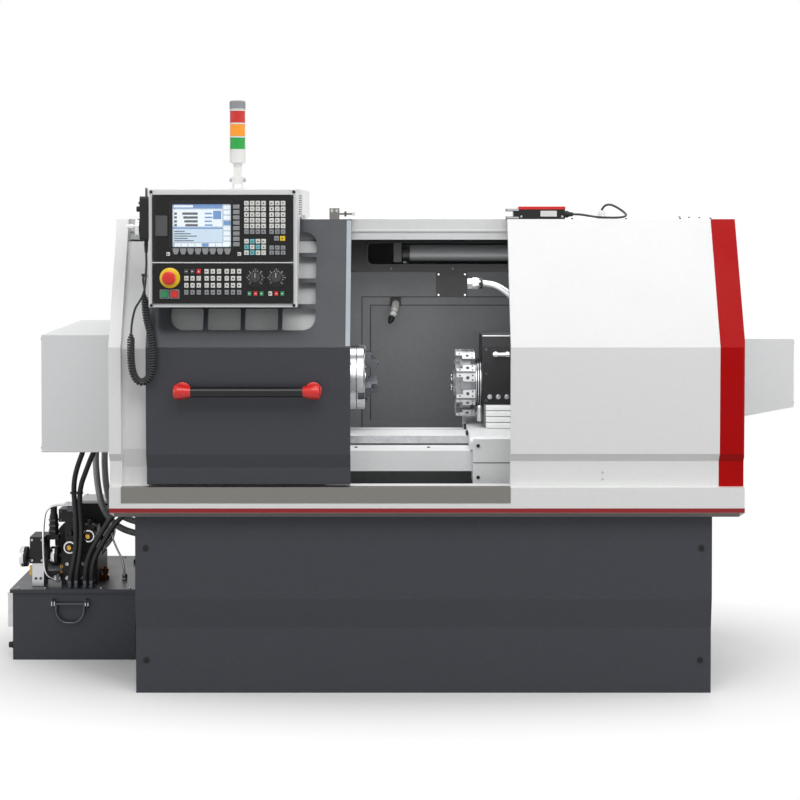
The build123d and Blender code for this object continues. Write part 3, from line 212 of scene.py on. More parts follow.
screen_back = glow_of("screen_background", "aebccb", 0.35)
screen_white = glow_of("screen_white", "e6edf2", 0.35)
screen_pale = glow_of("screen_pale_blue", "c3d6e6", 0.35)
screen_blue = glow_of("screen_blue", "4f83bd", 0.35)
screen_ink = glow_of("screen_ink", "2c3440", 0.1)
lens_red = glow_of("red_lens", "c21d14", 0.15)
amber_glow_lens = glow_of("amber_lens", "ee9412", 0.2)
lens_green = glow_of("green_lens", "0f9a3c", 0.15)


def glass_of(name, colour, alpha, rough):
    """A clear or tinted pane."""
    material = finish_of(name, colour, rough, 0.01, 300, 0.02, rough_vary=0.02, alpha=alpha)
    material.node_tree.nodes["Principled BSDF"].inputs["IOR"].default_value = 1.5
    return material


pane = glass_of("window_pane", "e6ebee", 0.1, 0.08)
lamp_glass = glass_of("lamp_glass", "7d8081", 0.8, 0.2)
screen_cover = glass_of("screen_cover", "e8f0f4", 0.1, 0.05)


# Camera, found from edges measured in the photograph, light and floor

camera = linked("camera", bpy.data.cameras.new("camera"))
camera.location = (-0.094, -5.52, 1.506)
CAMERA_DOWN = 1.0
camera.rotation_euler = (radians(90 - CAMERA_DOWN), 0, 0)
camera.data.lens = 74.25
camera.data.sensor_width = 36
camera.data.shift_x = 0.0088
camera.data.shift_y = -0.2085
scene.camera = camera
scene.view_settings.view_transform = "Standard"


def area_light(name, place, target, size, power):
    """A rectangular soft light that looks at a target."""
    lamp = bpy.data.lights.new(name, "AREA")
    lamp.shape = "RECTANGLE"
    lamp.size, lamp.size_y = size
    lamp.energy = power
    light = linked(name, lamp)
    light.location = place
    light.rotation_euler = (Vector(target) - Vector(place)).to_track_quat("-Z", "Y").to_euler()
    return light


area_light("key_softbox", (0.3, -3.6, 4.6), (0, -0.2, 1.0), (5.0, 2.2), 124)
area_light("top_softbox", (0, 0.2, 4.8), (0, 0, 1.0), (4.5, 3.0), 52)
area_light("left_fill", (-4.6, -2.6, 2.0), (0, 0, 0.9), (2.5, 3.0), 42)
area_light("right_fill", (4.6, -2.6, 2.0), (0, 0, 0.9), (2.5, 3.0), 58)
area_light("inside_fill", (0.02, -0.34, 1.16), (0.02, 0.4, 0.8), (0.8, 0.35), 1.9).visible_camera = False
area_light("bed_fill", (0.02, -0.06, 1.27), (0.02, -0.1, 0.76), (0.6, 0.18), 1.3).visible_camera = False
area_light("rear_fill", (0.5, 4.8, 3.2), (0, 0, 0.9), (4.0, 2.5), 60)


def seen_directly(tree):
    """One for the rays that see the background: camera, glossy and transmission rays."""
    rays = tree.nodes.new("ShaderNodeLightPath")
    result = rays.outputs["Is Camera Ray"]
    for kind in ("Is Glossy Ray", "Is Transmission Ray"):
        result = new_node(tree, "Math", {0: result, 1: rays.outputs[kind]}, operation="MAXIMUM").outputs[0]
    return result


world = bpy.data.worlds.new("studio")
scene.world = world
world.use_nodes = True
world_tree = world.node_tree
# The world is white for the rays that see it and dimmer as light on the object
world_strength = ranged(world_tree, seen_directly(world_tree), 0.38, 1.0, 0, 1)
fill(world_tree, world_tree.nodes["Background"], {"Color": (1, 1, 1, 1), "Strength": world_strength})

# The floor is pale for the rays that see it, and fades into the white background far away
floor_material, floor_tree, floor_shader, floor_place = shader("studio_floor")
floor_seen = seen_directly(floor_tree)
floor_colour = mixed(floor_tree, floor_seen, (0.26, 0.26, 0.26), (0.93, 0.93, 0.93))
fill(floor_tree, floor_shader, {"Roughness": 0.6, "Base Color": floor_colour})
stretched = scaled(floor_tree, floor_place, (0.5, 1.1, 1.0))
far = new_node(floor_tree, "VectorMath", {0: stretched}, operation="LENGTH").outputs["Value"]
fading = ranged(floor_tree, far, 0, 1, 0.58, 1.0)
faded = new_node(floor_tree, "Math", {0: fading, 1: floor_seen}, operation="MULTIPLY").outputs[0]
paper = new_node(floor_tree, "Emission", {"Strength": 1.0}).outputs["Emission"]
floor_inputs = {"Fac": faded, 1: floor_shader.outputs["BSDF"], 2: paper}
floor_mix = new_node(floor_tree, "MixShader", floor_inputs).outputs["Shader"]
fill(floor_tree, floor_tree.nodes["Material Output"], {"Surface": floor_mix})
bpy.ops.mesh.primitive_plane_add(size=60, location=(0, 0, -0.0005))
floor = bpy.context.object
floor.name = "studio_floor"
floor.data.materials.append(floor_material)


# Mesh helpers

def puck(radius, length):
    """The outline of a plain turned rod or disc."""
    return capped((0, radius), (length, radius))


def capped(*outline):
    """A turned outline, closed to the axis at both ends."""
    return [(outline[0][0], 0), *outline, (outline[-1][0], 0)]


def collar(inner, outer, length):
    """The outline of a plain ring."""
    return [(0, inner), (0, outer), (length, outer), (length, inner)]


def vectors(points):
    """Points in millimetres as vectors in metres."""
    return [Vector(point) * MM for point in points]


class Piece:
    """Solids gathered in one mesh. Every length that its methods take is in millimetres."""

    def __init__(self, name):
        self.name = name
        self.mesh = bmesh.new()
        self.materials = []

    def slot(self, material):
        if material not in self.materials:
            self.materials.append(material)
        return self.materials.index(material)

    def add(self, points, faces, material):
        index = self.slot(material)
        corners = [self.mesh.verts.new(point) for point in points]
        for face in faces:
            made = self.mesh.faces.new([corners[i] for i in face])
            made.material_index = index

    def extruded(self, outline, offset, material):
        """A closed outline moved along an offset."""
        low = vectors(outline)
        high = [point + Vector(offset) * MM for point in low]
        count = len(low)
        sides = [(i, (i + 1) % count, count + (i + 1) % count, count + i) for i in range(count)]
        self.add(low + high, [tuple(range(count))[::-1], tuple(range(count, 2 * count)), *sides], material)

    def box(self, x, y, z, material):
        self.extruded([(x[0], y[0], z[0]), (x[1], y[0], z[0]), (x[1], y[1], z[0]), (x[0], y[1], z[0])],
                      (0, 0, z[1] - z[0]), material)

    def along_x(self, outline, x, material):
        self.extruded([(x[0], y, z) for y, z in outline], (x[1] - x[0], 0, 0), material)

    def along_y(self, outline, y, material):
        self.extruded([(x, y[0], z) for x, z in outline], (0, y[1] - y[0], 0), material)

    def along_z(self, outline, z, material):
        self.extruded([(x, y, z[0]) for x, y in outline], (0, 0, z[1] - z[0]), material)

    def turned(self, origin, direction, outline, material, sides=40, phase=0.0):
        """A turned solid: the outline's points are (distance along the axis, radius)."""
        axis = Vector(direction).normalized()
        across = axis.orthogonal().normalized() if abs(axis.z) > 0.9 else Vector((0, 0, 1))
        across = (across - axis * across.dot(axis)).normalized()
        other = axis.cross(across)
        start = Vector(origin) * MM
        index = self.slot(material)
        rings = []
        for distance, radius in outline:
            centre = start + axis * distance * MM
            if radius < 0.001:
                rings.append([self.mesh.verts.new(centre)])
                continue
            ring = []
            for step in range(sides):
                angle = 2 * pi * step / sides + phase
                outward = across * cos(angle) + other * sin(angle)
                ring.append(self.mesh.verts.new(centre + outward * radius * MM))
            rings.append(ring)
        if len(rings[0]) > 1 and len(rings[-1]) > 1 and outline[0] != outline[-1]:
            for ring in (rings[0], rings[-1]):
                self.mesh.faces.new(ring).material_index = index
        for first, second in zip(rings, rings[1:]):
            for step in range(sides):
                following = (step + 1) % sides
                corners = [first[step % len(first)], first[following % len(first)],
                           second[following % len(second)], second[step % len(second)]]
                unique = list(dict.fromkeys(corners))
                if len(unique) > 2:
                    self.mesh.faces.new(unique).material_index = index

    def screw(self, place, direction, radius, material=dark_steel, height=None):
        """A socket-head screw whose head stands on place."""
        tall = height or radius * 0.9
        self.turned(place, direction, [(0, 0), (0, radius), (tall * 0.8, radius), (tall, radius * 0.86),
                                       (tall, radius * 0.55), (tall * 0.45, radius * 0.5), (tall * 0.45, 0)],
                    material, 20)

    def screws(self, xs, ys, zs, direction, radius, material=dark_steel):
        """Screws at each combination of the given X, Y and Z."""
        for place in product(xs, ys, zs):
            self.screw(place, direction, radius, material)

    def screw_circle(self, centre, reach, count, direction, radius, material=dark_steel, first=0.0):
        """Screws spread evenly on a circle round an axis along X."""
        x, y, z = centre
        for number in range(count):
            angle = 2 * pi * (number + first) / count
            self.screw((x, y + reach * sin(angle), z + reach * cos(angle)), direction, radius, material)

    def spoke(self, centre, angle, reach, half, offset, material, axis="y"):
        """A bar that points away from a centre, at an angle from the top, round an axis along X or Y."""
        x, y, z = centre
        corners = []
        for along, aside in ((reach[0], -half), (reach[0], half), (reach[1], half), (reach[1], -half)):
            flat = along * sin(angle) + aside * cos(angle)
            up = along * cos(angle) - aside * sin(angle)
            corners.append((x + flat, y, z + up) if axis == "y" else (x, y + flat, z + up))
        self.extruded(corners, offset, material)

    def hex_head(self, place, direction, radius, tall, material):
        """A hexagon head on its washer."""
        self.turned(place, direction, [(0, 0), (0, radius * 1.25), (tall * 0.2, radius * 1.25),
                                       (tall * 0.2, 0)], material, 24)
        self.turned(place, direction, [(tall * 0.2, 0), (tall * 0.2, radius), (tall * 0.9, radius),
                                       (tall, radius * 0.88), (tall, 0)], material, 6)

    def done(self, body, bevel=0.8, segments=2, angle=35):
        """Make the object: clean normals, bevelled edges, smooth shading, riding on its body."""
        bmesh.ops.recalc_face_normals(self.mesh, faces=self.mesh.faces)
        data = bpy.data.meshes.new(self.name)
        self.mesh.to_mesh(data)
        self.mesh.free()
        for material in self.materials:
            data.materials.append(material)
        for polygon in data.polygons:
            polygon.use_smooth = True
        data.set_sharp_from_angle(angle=radians(angle))
        made = linked(self.name, data)
        if bevel:
            rounding = made.modifiers.new("edges", "BEVEL")
            rounding.width = bevel * MM
            rounding.segments = segments
            rounding.limit_method = "ANGLE"
            rounding.angle_limit = radians(angle)
            rounding.harden_normals = True
            rounding.use_clamp_overlap = True
        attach(made, body)
        return made


def plate(name, outline, holes, depth, material, place, bevel):
    """A plate with holes, cut from a flat outline. place is a matrix that carries its plane to the frame."""
    curve = bpy.data.curves.new(name, "CURVE")
    curve.dimensions = "2D"
    curve.fill_mode = "BOTH"
    curve.extrude = (depth / 2 - bevel) * MM
    curve.bevel_depth = bevel * MM
    curve.bevel_resolution = 1
    curve.offset = -bevel * MM
    for loop in [outline, *holes]:
        spline = curve.splines.new("POLY")
        spline.points.add(len(loop) - 1)
        for point, (u, v) in zip(spline.points, loop):
            point.co = (u * MM, v * MM, 0, 1)
        spline.use_cyclic_u = True
    data = mesh_from(linked(name + "_curve", curve))
    data.transform(place @ Matrix.Translation((0, 0, -depth / 2 * MM)))
    data.name = name
    solid = bmesh.new()
    solid.from_mesh(data)
    bmesh.ops.remove_doubles(solid, verts=solid.verts, dist=1e-6)
    bmesh.ops.recalc_face_normals(solid, faces=solid.faces)
    solid.to_mesh(data)
    solid.free()
    data.materials.clear()
    data.materials.append(material)
    for polygon in data.polygons:
        polygon.use_smooth = True
    data.set_sharp_from_angle(angle=radians(50))
    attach(linked(name, data), "machine")


def rounded(centre, size, radius, steps=5):
    """The outline of a rounded rectangle."""
    half_w, half_h = size[0] / 2, size[1] / 2
    points = []
    for quarter, (sx, sy) in enumerate(((1, 1), (-1, 1), (-1, -1), (1, -1))):
        corner = (centre[0] + sx * (half_w - radius), centre[1] + sy * (half_h - radius))
        for step in range(steps + 1):
            angle = pi / 2 * (quarter + step / steps)
            points.append((corner[0] + radius * cos(angle), corner[1] + radius * sin(angle)))
    return points


def facing_front(y):
    """Carries a flat (X, Z) outline to the plane at Y, with the plate's thickness behind it."""
    return Matrix(((1, 0, 0, 0), (0, 0, -1, y * MM), (0, 1, 0, 0), (0, 0, 0, 1)))


# Cords

def route_curve(name, points, radius=0, material=None):
    """A smooth tube whose NURBS spline has the route's points as its control points."""
    curve = bpy.data.curves.new(name, "CURVE")
    curve.dimensions = "3D"
    spline = curve.splines.new("NURBS")
    spline.points.add(len(points) - 1)
    for point, place in zip(spline.points, points):
        point.co = (place[0] * MM, place[1] * MM, place[2] * MM, 1)
    spline.order_u = 3
    spline.use_endpoint_u = True
    spline.resolution_u = 12
    curve.bevel_depth = radius * MM
    curve.bevel_resolution = 6
    curve.use_fill_caps = True
    made = linked(name, curve)
    if material:
        curve.materials.append(material)
        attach(made, "machine")
    return made


def route_points(points):
    """Points read from a route's smooth spline."""
    data = mesh_from(route_curve("route", points))
    return [vertex.co.copy() for vertex in data.vertices]


def evenly(points, spacing):
    """The same line with points a spacing apart."""
    result = [points[0]]
    left = spacing
    for start, end in zip(points, points[1:]):
        run = (end - start).length
        travelled = 0.0
        while run - travelled >= left:
            travelled += left
            result.append(start.lerp(end, travelled / run))
            left = spacing
        left -= run - travelled
    return result


def tube_mesh(name, line, radius, material, profile=None, sides=20):
    """A mesh tube whose radius a profile varies, with a UV map of length and turn in metres."""
    mesh = bmesh.new()
    uv = mesh.loops.layers.uv.new("UVMap")
    side = None
    rings = []
    lengths = [0.0]
    for first, second in zip(line, line[1:]):
        lengths.append(lengths[-1] + (second - first).length)
    for index, point in enumerate(line):
        ahead = line[min(index + 1, len(line) - 1)] - line[max(index - 1, 0)]
        ahead.normalize()
        if side is None:
            side = ahead.orthogonal().normalized()
        side = (side - ahead * side.dot(ahead)).normalized()
        other = ahead.cross(side)
        size = radius * MM * (profile(lengths[index]) if profile else 1.0)
        rings.append([mesh.verts.new(point + (side * cos(a) + other * sin(a)) * size)
                      for a in (2 * pi * k / sides for k in range(sides))])
    around = 2 * pi * radius * MM
    for index, (first, second) in enumerate(zip(rings, rings[1:])):
        for k in range(sides):
            n = (k + 1) % sides
            face = mesh.faces.new((first[k], first[n], second[n], second[k]))
            face.smooth = True
            places = ((index, k), (index, k + 1), (index + 1, k + 1), (index + 1, k))
            for loop, (i, j) in zip(face.loops, places):
                loop[uv].uv = (lengths[i], around * j / sides)
    mesh.faces.new(rings[0][::-1])
    mesh.faces.new(rings[-1])
    data = bpy.data.meshes.new(name)
    mesh.to_mesh(data)
    mesh.free()
    data.materials.append(material)
    made = linked(name, data)
    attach(made, "machine")
    return made


def length_of(line):
    return sum((second - first).length for first, second in zip(line, line[1:]))


def braid_of(name, bright, dark):
    """A woven metal braid, from crossing waves along and round a hose."""
    material, tree, principled, place = shader(name)
    vector = scaled(tree, place, (1, 1, 1), "UV")
    heights = []
    for turn in (0.9, -0.9):
        spun = new_node(tree, "Mapping", {"Vector": vector, "Rotation": (0, 0, turn)}).outputs["Vector"]
        wave = {"Vector": spun, "Scale": 95, "Distortion": 0.3}
        heights.append(new_node(tree, "TexWave", wave).outputs["Fac"])
    woven = new_node(tree, "Math", {0: heights[0], 1: heights[1]}, operation="MULTIPLY").outputs[0]
    fill(tree, principled, {
        "Base Color": mixed(tree, ranged(tree, woven, 0, 1, 0.1, 0.5), linear(dark), linear(bright)),
        "Metallic": 0.45,
        "Roughness": 0.35,
        "Normal": bumped(tree, woven, 0.7, 0.001),
    })
    return material


braid = braid_of("braided_sleeve", "d6d7d8", "66676a")

conduit_route = [
    (200, -110, 1246), (226, -110, 1246), (264, -106, 1230), (304, -84, 1196), (336, -40, 1162),
    (356, 20, 1136), (366, 90, 1122), (370, 160, 1118), (371, 230, 1122), (370, 300, 1128),
    (370, 345, 1129), (370, 380, 1128.5),
]
conduit_line = evenly(route_points(conduit_route), 0.0008)


def ribbed(distance):
    """The rings of a flexible metal conduit, one each four millimetres."""
    return 0.94 + 0.06 * cos(2 * pi * distance / 0.004)


conduit = tube_mesh("lamp_conduit_hose", conduit_line, 11, aluminium, ribbed, 16)
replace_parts(conduit, "lamp_conduit")

cable_route = [
    (472, -332, 1475), (492, -332, 1475), (517, -329, 1471), (546, -324, 1466), (578, -318, 1464.5),
    (612, -308, 1464), (638, -292, 1466), (650, -268, 1472), (644, -244, 1482), (626, -226, 1496),
    (604, -216, 1507), (584, -212, 1502), (577, -211, 1487),
]
interlock = route_curve("interlock_lead", cable_route, 3.5, cord_skin)
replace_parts(interlock, "interlock_cable")
length_of(route_points(cable_route))

lead_route = [
    (-836, -562, 1388), (-836, -562, 1358), (-835, -563, 1326), (-837, -564, 1294), (-839, -564, 1262),
    (-844, -563, 1236), (-856, -561, 1215), (-869, -558, 1196), (-876, -554, 1174), (-882, -548, 1148),
    (-885, -542, 1118),
]
curl_route = [
    (-885, -542, 1118), (-887, -538, 1074), (-886, -538, 1028), (-879, -539, 988), (-860, -541, 966),
    (-836, -543, 974), (-821, -544, 1004), (-818, -545, 1046), (-821, -545, 1092), (-830, -546, 1134),
    (-841, -546, 1174), (-843, -546, 1236),
]
wall_route = [
    (-843, -546, 1236), (-844, -547, 1255), (-847, -549, 1272), (-848, -550, 1286), (-842, -551, 1293),
    (-835, -551, 1293),
]


def curly_cord():
    """The pendant's cord: a straight lead, a helix in a hanging loop and a short lead to the wall."""
    middle = evenly(route_points(curl_route), 0.00045)
    turns = length_of(middle) / 0.0078
    helix = []
    side = Vector((0, 1, 0))
    for index, point in enumerate(middle):
        ahead = (middle[min(index + 1, len(middle) - 1)] - middle[max(index - 1, 0)]).normalized()
        side = (side - ahead * side.dot(ahead)).normalized()
        other = ahead.cross(side)
        share = index / (len(middle) - 1)
        fade = min(1.0, share * 24, (1 - share) * 24)
        angle = 2 * pi * turns * share
        helix.append(point + (side * cos(angle) + other * sin(angle)) * 9.4 * MM * fade)
    start = [Vector(p) * MM for p in lead_route[:-1]]
    end = [Vector(p) * MM for p in wall_route[1:]]
    return [tuple(p / MM) for p in start + helix[::2] + end]


pendant_line = evenly(route_points(curly_cord()), 0.0016)
pendant_cord = tube_mesh("pendant_curly_cord", pendant_line, 3.3, cord_skin, sides=10)
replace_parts(pendant_cord, "pendant_cord")

hose_routes = {
    "oil_hose_1": [
        (-1118, -66, 720), (-1118, -66, 694), (-1134, -68, 654), (-1148, -70, 606), (-1151, -74, 560),
        (-1147, -78, 520), (-1143, -80, 477), (-1142, -82, 420), (-1142, -84, 376), (-1150, -82, 326),
        (-1161, -72, 284), (-1166, -62, 258), (-1166, -62, 235),
    ],
    "oil_hose_2": [
        (-1082, -60, 720), (-1082, -60, 694), (-1096, -62, 664), (-1113, -66, 618), (-1128, -71, 576),
        (-1132, -76, 526), (-1127, -80, 477), (-1124, -82, 420), (-1126, -84, 376), (-1133, -82, 326),
        (-1142, -70, 284), (-1145, -60, 258), (-1145, -60, 235),
    ],
    "oil_hose_3": [
        (-886, -66, 520), (-926, -66, 520), (-972, -68, 512), (-1012, -72, 486), (-1042, -76, 450),
        (-1066, -80, 407), (-1091, -82, 366), (-1106, -82, 326), (-1113, -74, 284), (-1115, -62, 258),
        (-1115, -62, 235),
    ],
    "oil_hose_4": [
        (-886, -66, 496), (-922, -66, 496), (-960, -67, 490), (-997, -71, 468), (-1025, -75, 434),
        (-1047, -79, 398), (-1070, -81, 360), (-1086, -81, 322), (-1092, -72, 284), (-1094, -62, 258),
        (-1094, -62, 235),
    ],
    "braided_hose_1": [
        (-1100, 60, 720), (-1100, 60, 690), (-1102, 60, 650), (-1100, 60, 600), (-1094, 60, 545),
        (-1084, 62, 492), (-1062, 66, 444), (-1028, 76, 408), (-980, 88, 386), (-930, 94, 378),
        (-886, 94, 378),
    ],
    "braided_hose_2": [
        (-1074, 88, 720), (-1074, 88, 690), (-1077, 88, 650), (-1076, 88, 600), (-1072, 88, 548),
        (-1062, 90, 500), (-1040, 96, 458), (-1004, 108, 430), (-960, 118, 416), (-922, 122, 410),
        (-886, 122, 410),
    ],
}
for hose_name, hose_route in hose_routes.items():
    hose_line = evenly(route_points(hose_route), 0.006)
    hose_radius, hose_skin = (11, braid) if hose_name.startswith("braided") else (8.5, rubber)
    hose = tube_mesh(hose_name, hose_line, hose_radius, hose_skin)
    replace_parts(hose, "service_hoses")


# Finishes of the CAD nodes that stay visible

node_finishes = (
    (base_paint, "base_stand"),
    (white_paint, "chip_tray left_end_wall headstock_cover right_front_cover right_end_wall"),
    (red_paint, "red_corner_panel"),
    (grey_paint, "roof_panel end_covers screw_guard electrical_cabinet control_box saddle apron"),
    (wall_paint, "rear_wall"),
    (shelf_paint, "lamp_shelf"),
    (lamp_glass, "work_lamp"),
    (cast_grey, "bed headstock cross_slide tailstock"),
    (black_cast, "main_motor z_servo_motor pump_motor valve_block turret_body"),
    (rubber, "drive_belt"),
    (black_plastic, "interlock_switch pendant_body"),
    (panel_black, "display_panel operator_panel"),
    (charcoal, "tank door_panel"),
    (pane, "door_window"),
    (aluminium, "door_handle"),
    (stainless, "door_lock_key"),
    (steel, "spindle chuck_body motor_pulley x_screw z_screw tailstock_quill"),
    (dark_steel, "chuck_jaw_1 chuck_jaw_2 chuck_jaw_3 tank_handle"),
    (disc_steel, "turret_disc"),
    (red_plastic, "estop_button stop_button tower_lenses"),
    (green_plastic, "start_button"),
    (knob_plastic, "feed_knob spindle_knob"),
    (flap_plastic, "usb_cover"),
    (chrome, "pendant_wheel"),
    (white_plastic, "tower_column"),
)
for finish, node_names in node_finishes:
    for node_name in node_names.split():
        for material_slot in nodes[node_name].material_slots:
            material_slot.material = finish


# Fronts: the sill, the stripe, the door edge's painted highlight and its handle

FRONT_Y = -520
LEAN_START_Z = 1072
LEAN_RUN, LEAN_RISE = 165, 388


def front_y(z):
    """The housing's front face at a height."""
    return FRONT_Y + max(0.0, z - LEAN_START_Z) * LEAN_RUN / LEAN_RISE


sill = Piece("stainless_sill")
sill.along_x([(-521.6, 598), (-520, 598), (-520, 645), (-498, 645), (-498, 646.6), (-521.6, 646.6)],
             (-921, 264), stainless)
sill.done("machine", 0.5)

stripe = Piece("red_stripe")
stripe_z = (568.5, 582)
stripe.box((-957.5, 975.5), (-520.5, -520), stripe_z, stripe_red)
for stripe_x in ((-957.5, -957), (975, 975.5)):
    stripe.box(stripe_x, (-520.5, 430), stripe_z, stripe_red)
stripe.done("machine", 0)
# A thin grey film over the white tray's bevel, which faces down: painted shade on the underside
bevel_shade_band = Piece("tray_bevel_shade_band")
bevel_shade_band.along_x([(-520.4, 567.6), (-506.4, 553.8), (-505.9, 554.2), (-519.9, 568)], (-943, 961),
                   bevel_shade_paint)
bevel_shade_band.done("machine", 0)
# A thin ledge in white paint, lighter than the roof's grey, for the light line along the rail's lip: painted
# highlight
rail = Piece("rail_lip_highlight")
rail.box((-921, 951), (-323.4, -322), (1420.5, 1427), white_paint)
rail.done("machine", 0.4)

# A light bluish film on the leaning part of the door's right edge: painted highlight where the edge catches
# the light
edge_highlight_strip = Piece("door_edge_highlight_strip")
edge_highlight_strip.along_x([(front_y(1076) - 1, 1076), (front_y(1456) - 1, 1456), (front_y(1456), 1456),
                    (front_y(1076), 1076)], (-238.5, -224.2), edge_highlight_paint)
edge_highlight_strip.done("door", 0.4)

grip = Piece("door_handle_grip")
grip.turned((-712, -560, 941), RIGHT, puck(16, 348), gloss_black, 48)
for end_x, inwards in ((-755, 1), (-314, -1)):
    grip.turned((end_x, -560, 941), (inwards, 0, 0),
                capped((0, 17), (1.5, 20), (5, 22), (16, 23), (26, 21.8), (36, 19.4), (46, 17.2),
                       (52, 16.1)), red_plastic, 48)
    low_x, high_x = sorted((end_x, end_x + inwards * 44))
    grip.along_z([(low_x + 2, -520), (high_x - 2, -520), (high_x - 5, -556), (low_x + 3, -556)], (925, 957),
                 red_plastic)
    grip.turned((end_x + inwards * 22, -520.2, 941), FRONT, capped((0, 26), (2, 26), (4, 23)), red_plastic)
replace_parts(grip.done("door", 1.2, 3), "door_handle")

door_trim = Piece("door_seals")
door_trim.box((-844, -225), (-474, -468), (646.7, 652.5), rubber)
seal_outline = [(front_y(1105) + 24.5, 1104), (front_y(1437) + 24.5, 1437), (front_y(1437) + 32, 1437),
                (front_y(1105) + 32, 1104)]
for seal_x in ((-795, -790.5), (-315.5, -311)):
    door_trim.along_x(seal_outline, seal_x, rubber)
door_trim.done("door", 0.6)

cover_bolts = Piece("base_bolts")
for bolt_x in (-854, 854):
    for bolt_z, bolt_y in ((451, -470), (102, -456)):
        cover_bolts.turned((bolt_x, bolt_y, bolt_z), FRONT,
                           capped((0, 8.5), (3.2, 8.5), (5.4, 6.6), (5.4, 3.4), (2.5, 3)), black_plastic, 28)
for side, seam_x in ((-1, -957), (1, 975)):
    cover_bolts.screws((seam_x,), (-420, -120, 180, 380), (620,), (side, 0, 0), 5)
cover_bolts.done("machine", 0.4)

front_screws = Piece("cover_screws")
front_screws.screws((546,), (-497,), (688, 668), FRONT, 3.2, steel)
front_screws.screws((300, 470, 640, 810), (-326,), (1460,), UP, 4)
front_screws.screws((-880, 920), (-250, -60, 130, 320), (1460,), UP, 4)
front_screws.done("machine", 0.3)

# Control: screen, keys, dials, stop button. First the panels' fronts, the dials' centres and the usual key

PANEL_Y = -603
SCREEN_Y = -601.4
DIAL_Z = 1287.6
FEED_X, SPEED_X = -503.8, -441.8
KEY_PITCH, KEY_SIZE = (17, 17), (14.5, 14.5)

plate("screen_bezel", rounded((-664, 1443), (194, 148), 7), [rounded((-664, 1443), (174, 128), 3)], 2.4,
      gloss_black, facing_front(-605.2), 0.6)
view = Piece("screen_view")
view.box((-753, -575), (SCREEN_Y, SCREEN_Y + 0.5), (1377, 1509), screen_back)


def tile(x, z, material, lift=0.25):
    """A field of the screen's layout. A larger lift lies over a smaller one."""
    view.box(x, (SCREEN_Y - lift, SCREEN_Y), z, material)


tile((-750, -603), (1494, 1507), screen_blue)
tile((-748, -690), (1497, 1504), screen_white, 0.4)
tile((-750, -603), (1440, 1491), screen_white)
tile((-750, -603), (1394, 1437), screen_pale)
tile((-750, -603), (1433, 1437), screen_blue, 0.4)
for line in range(4):
    low = 1480 - line * 11.5
    tile((-746, -738), (low - 5, low + 2), screen_ink, 0.5)
    tile((-722 + 3 * line, -676), (low - 5, low + 2), screen_ink, 0.5)
    tile((-655, -634 + 2 * (line % 2)), (low - 3.5, low + 1), screen_blue, 0.5)
tile((-630, -606), (1462, 1487), screen_blue, 0.5)
for line in range(5):
    low = 1427 - line * 7
    tile((-746, -715 + 9 * ((line * 2) % 5)), (low - 3, low), screen_ink, 0.5)
for label in range(8):
    label_z = 1443 + (label - 3.5) * 15.6
    tile((-599, -578), (label_z - 6, label_z + 6), screen_blue if label == 4 else screen_white)
    label_x = -664 + (label - 3.5) * 20.5
    tile((label_x - 9, label_x + 9), (1380, 1390), screen_blue if label == 4 else screen_white)
view.done("machine", 0)
glass_front = Piece("screen_glass")
glass_front.box((-751.5, -576.5), (-603.4, -602.8), (1378.5, 1507.5), screen_cover)
glass_front.done("machine", 0)

keys = Piece("key_caps")
marks = Piece("key_legends")


def key_cap(x, z, w, h, material, legend=None):
    """A key with sloping sides over its CAD pad, and a small printed sign."""
    top = PANEL_Y - 3
    points = []
    for y, inset in ((PANEL_Y, -0.3), (top, 1)):
        left, right, low, high = x - w / 2 + inset, x + w / 2 - inset, z - h / 2 + inset, z + h / 2 - inset
        points += [(left, y, low), (right, y, low), (right, y, high), (left, y, high)]
    faces = [(3, 2, 1, 0), (4, 5, 6, 7), (0, 1, 5, 4), (1, 2, 6, 5), (2, 3, 7, 6), (3, 0, 4, 7)]
    keys.add(vectors(points), faces, material)
    if legend is None:
        return
    ink = key_white if material in (red_plastic, green_plastic, key_dark) else screen_ink
    y = (top - 0.25, top)
    if legend == 0:
        marks.box((x - 3.4, x + 3.4), y, (z - 0.9, z + 0.9), ink)
    elif legend == 1:
        marks.along_y([(x - 3, z - 2.6), (x + 3.4, z), (x - 3, z + 2.6)], y, ink)
    elif legend == 2:
        marks.along_y([(x - 2.8, z - 2.4), (x + 2.8, z - 2.4), (x, z + 3.2)], y, ink)
    elif legend == 3:
        marks.box((x - 3, x + 3), y, (z + 0.9, z + 2.2), ink)
        marks.box((x - 3, x + 1), y, (z - 2.2, z - 0.9), ink)
    elif legend == 4:
        marks.turned((x, top, z), FRONT, puck(2.4, 0.25), ink, 16)


def key_grid(centre, columns, rows, choose, pitch=KEY_PITCH, size=KEY_SIZE):
    """Rows of keys. choose gives the material and the sign for a column and a row."""
    for row in range(rows):
        for column in range(columns):
            x = centre[0] + (column - (columns - 1) / 2) * pitch[0]
            z = centre[1] + ((rows - 1) / 2 - row) * pitch[1]
            key_cap(x, z, *size, *choose(column, row))


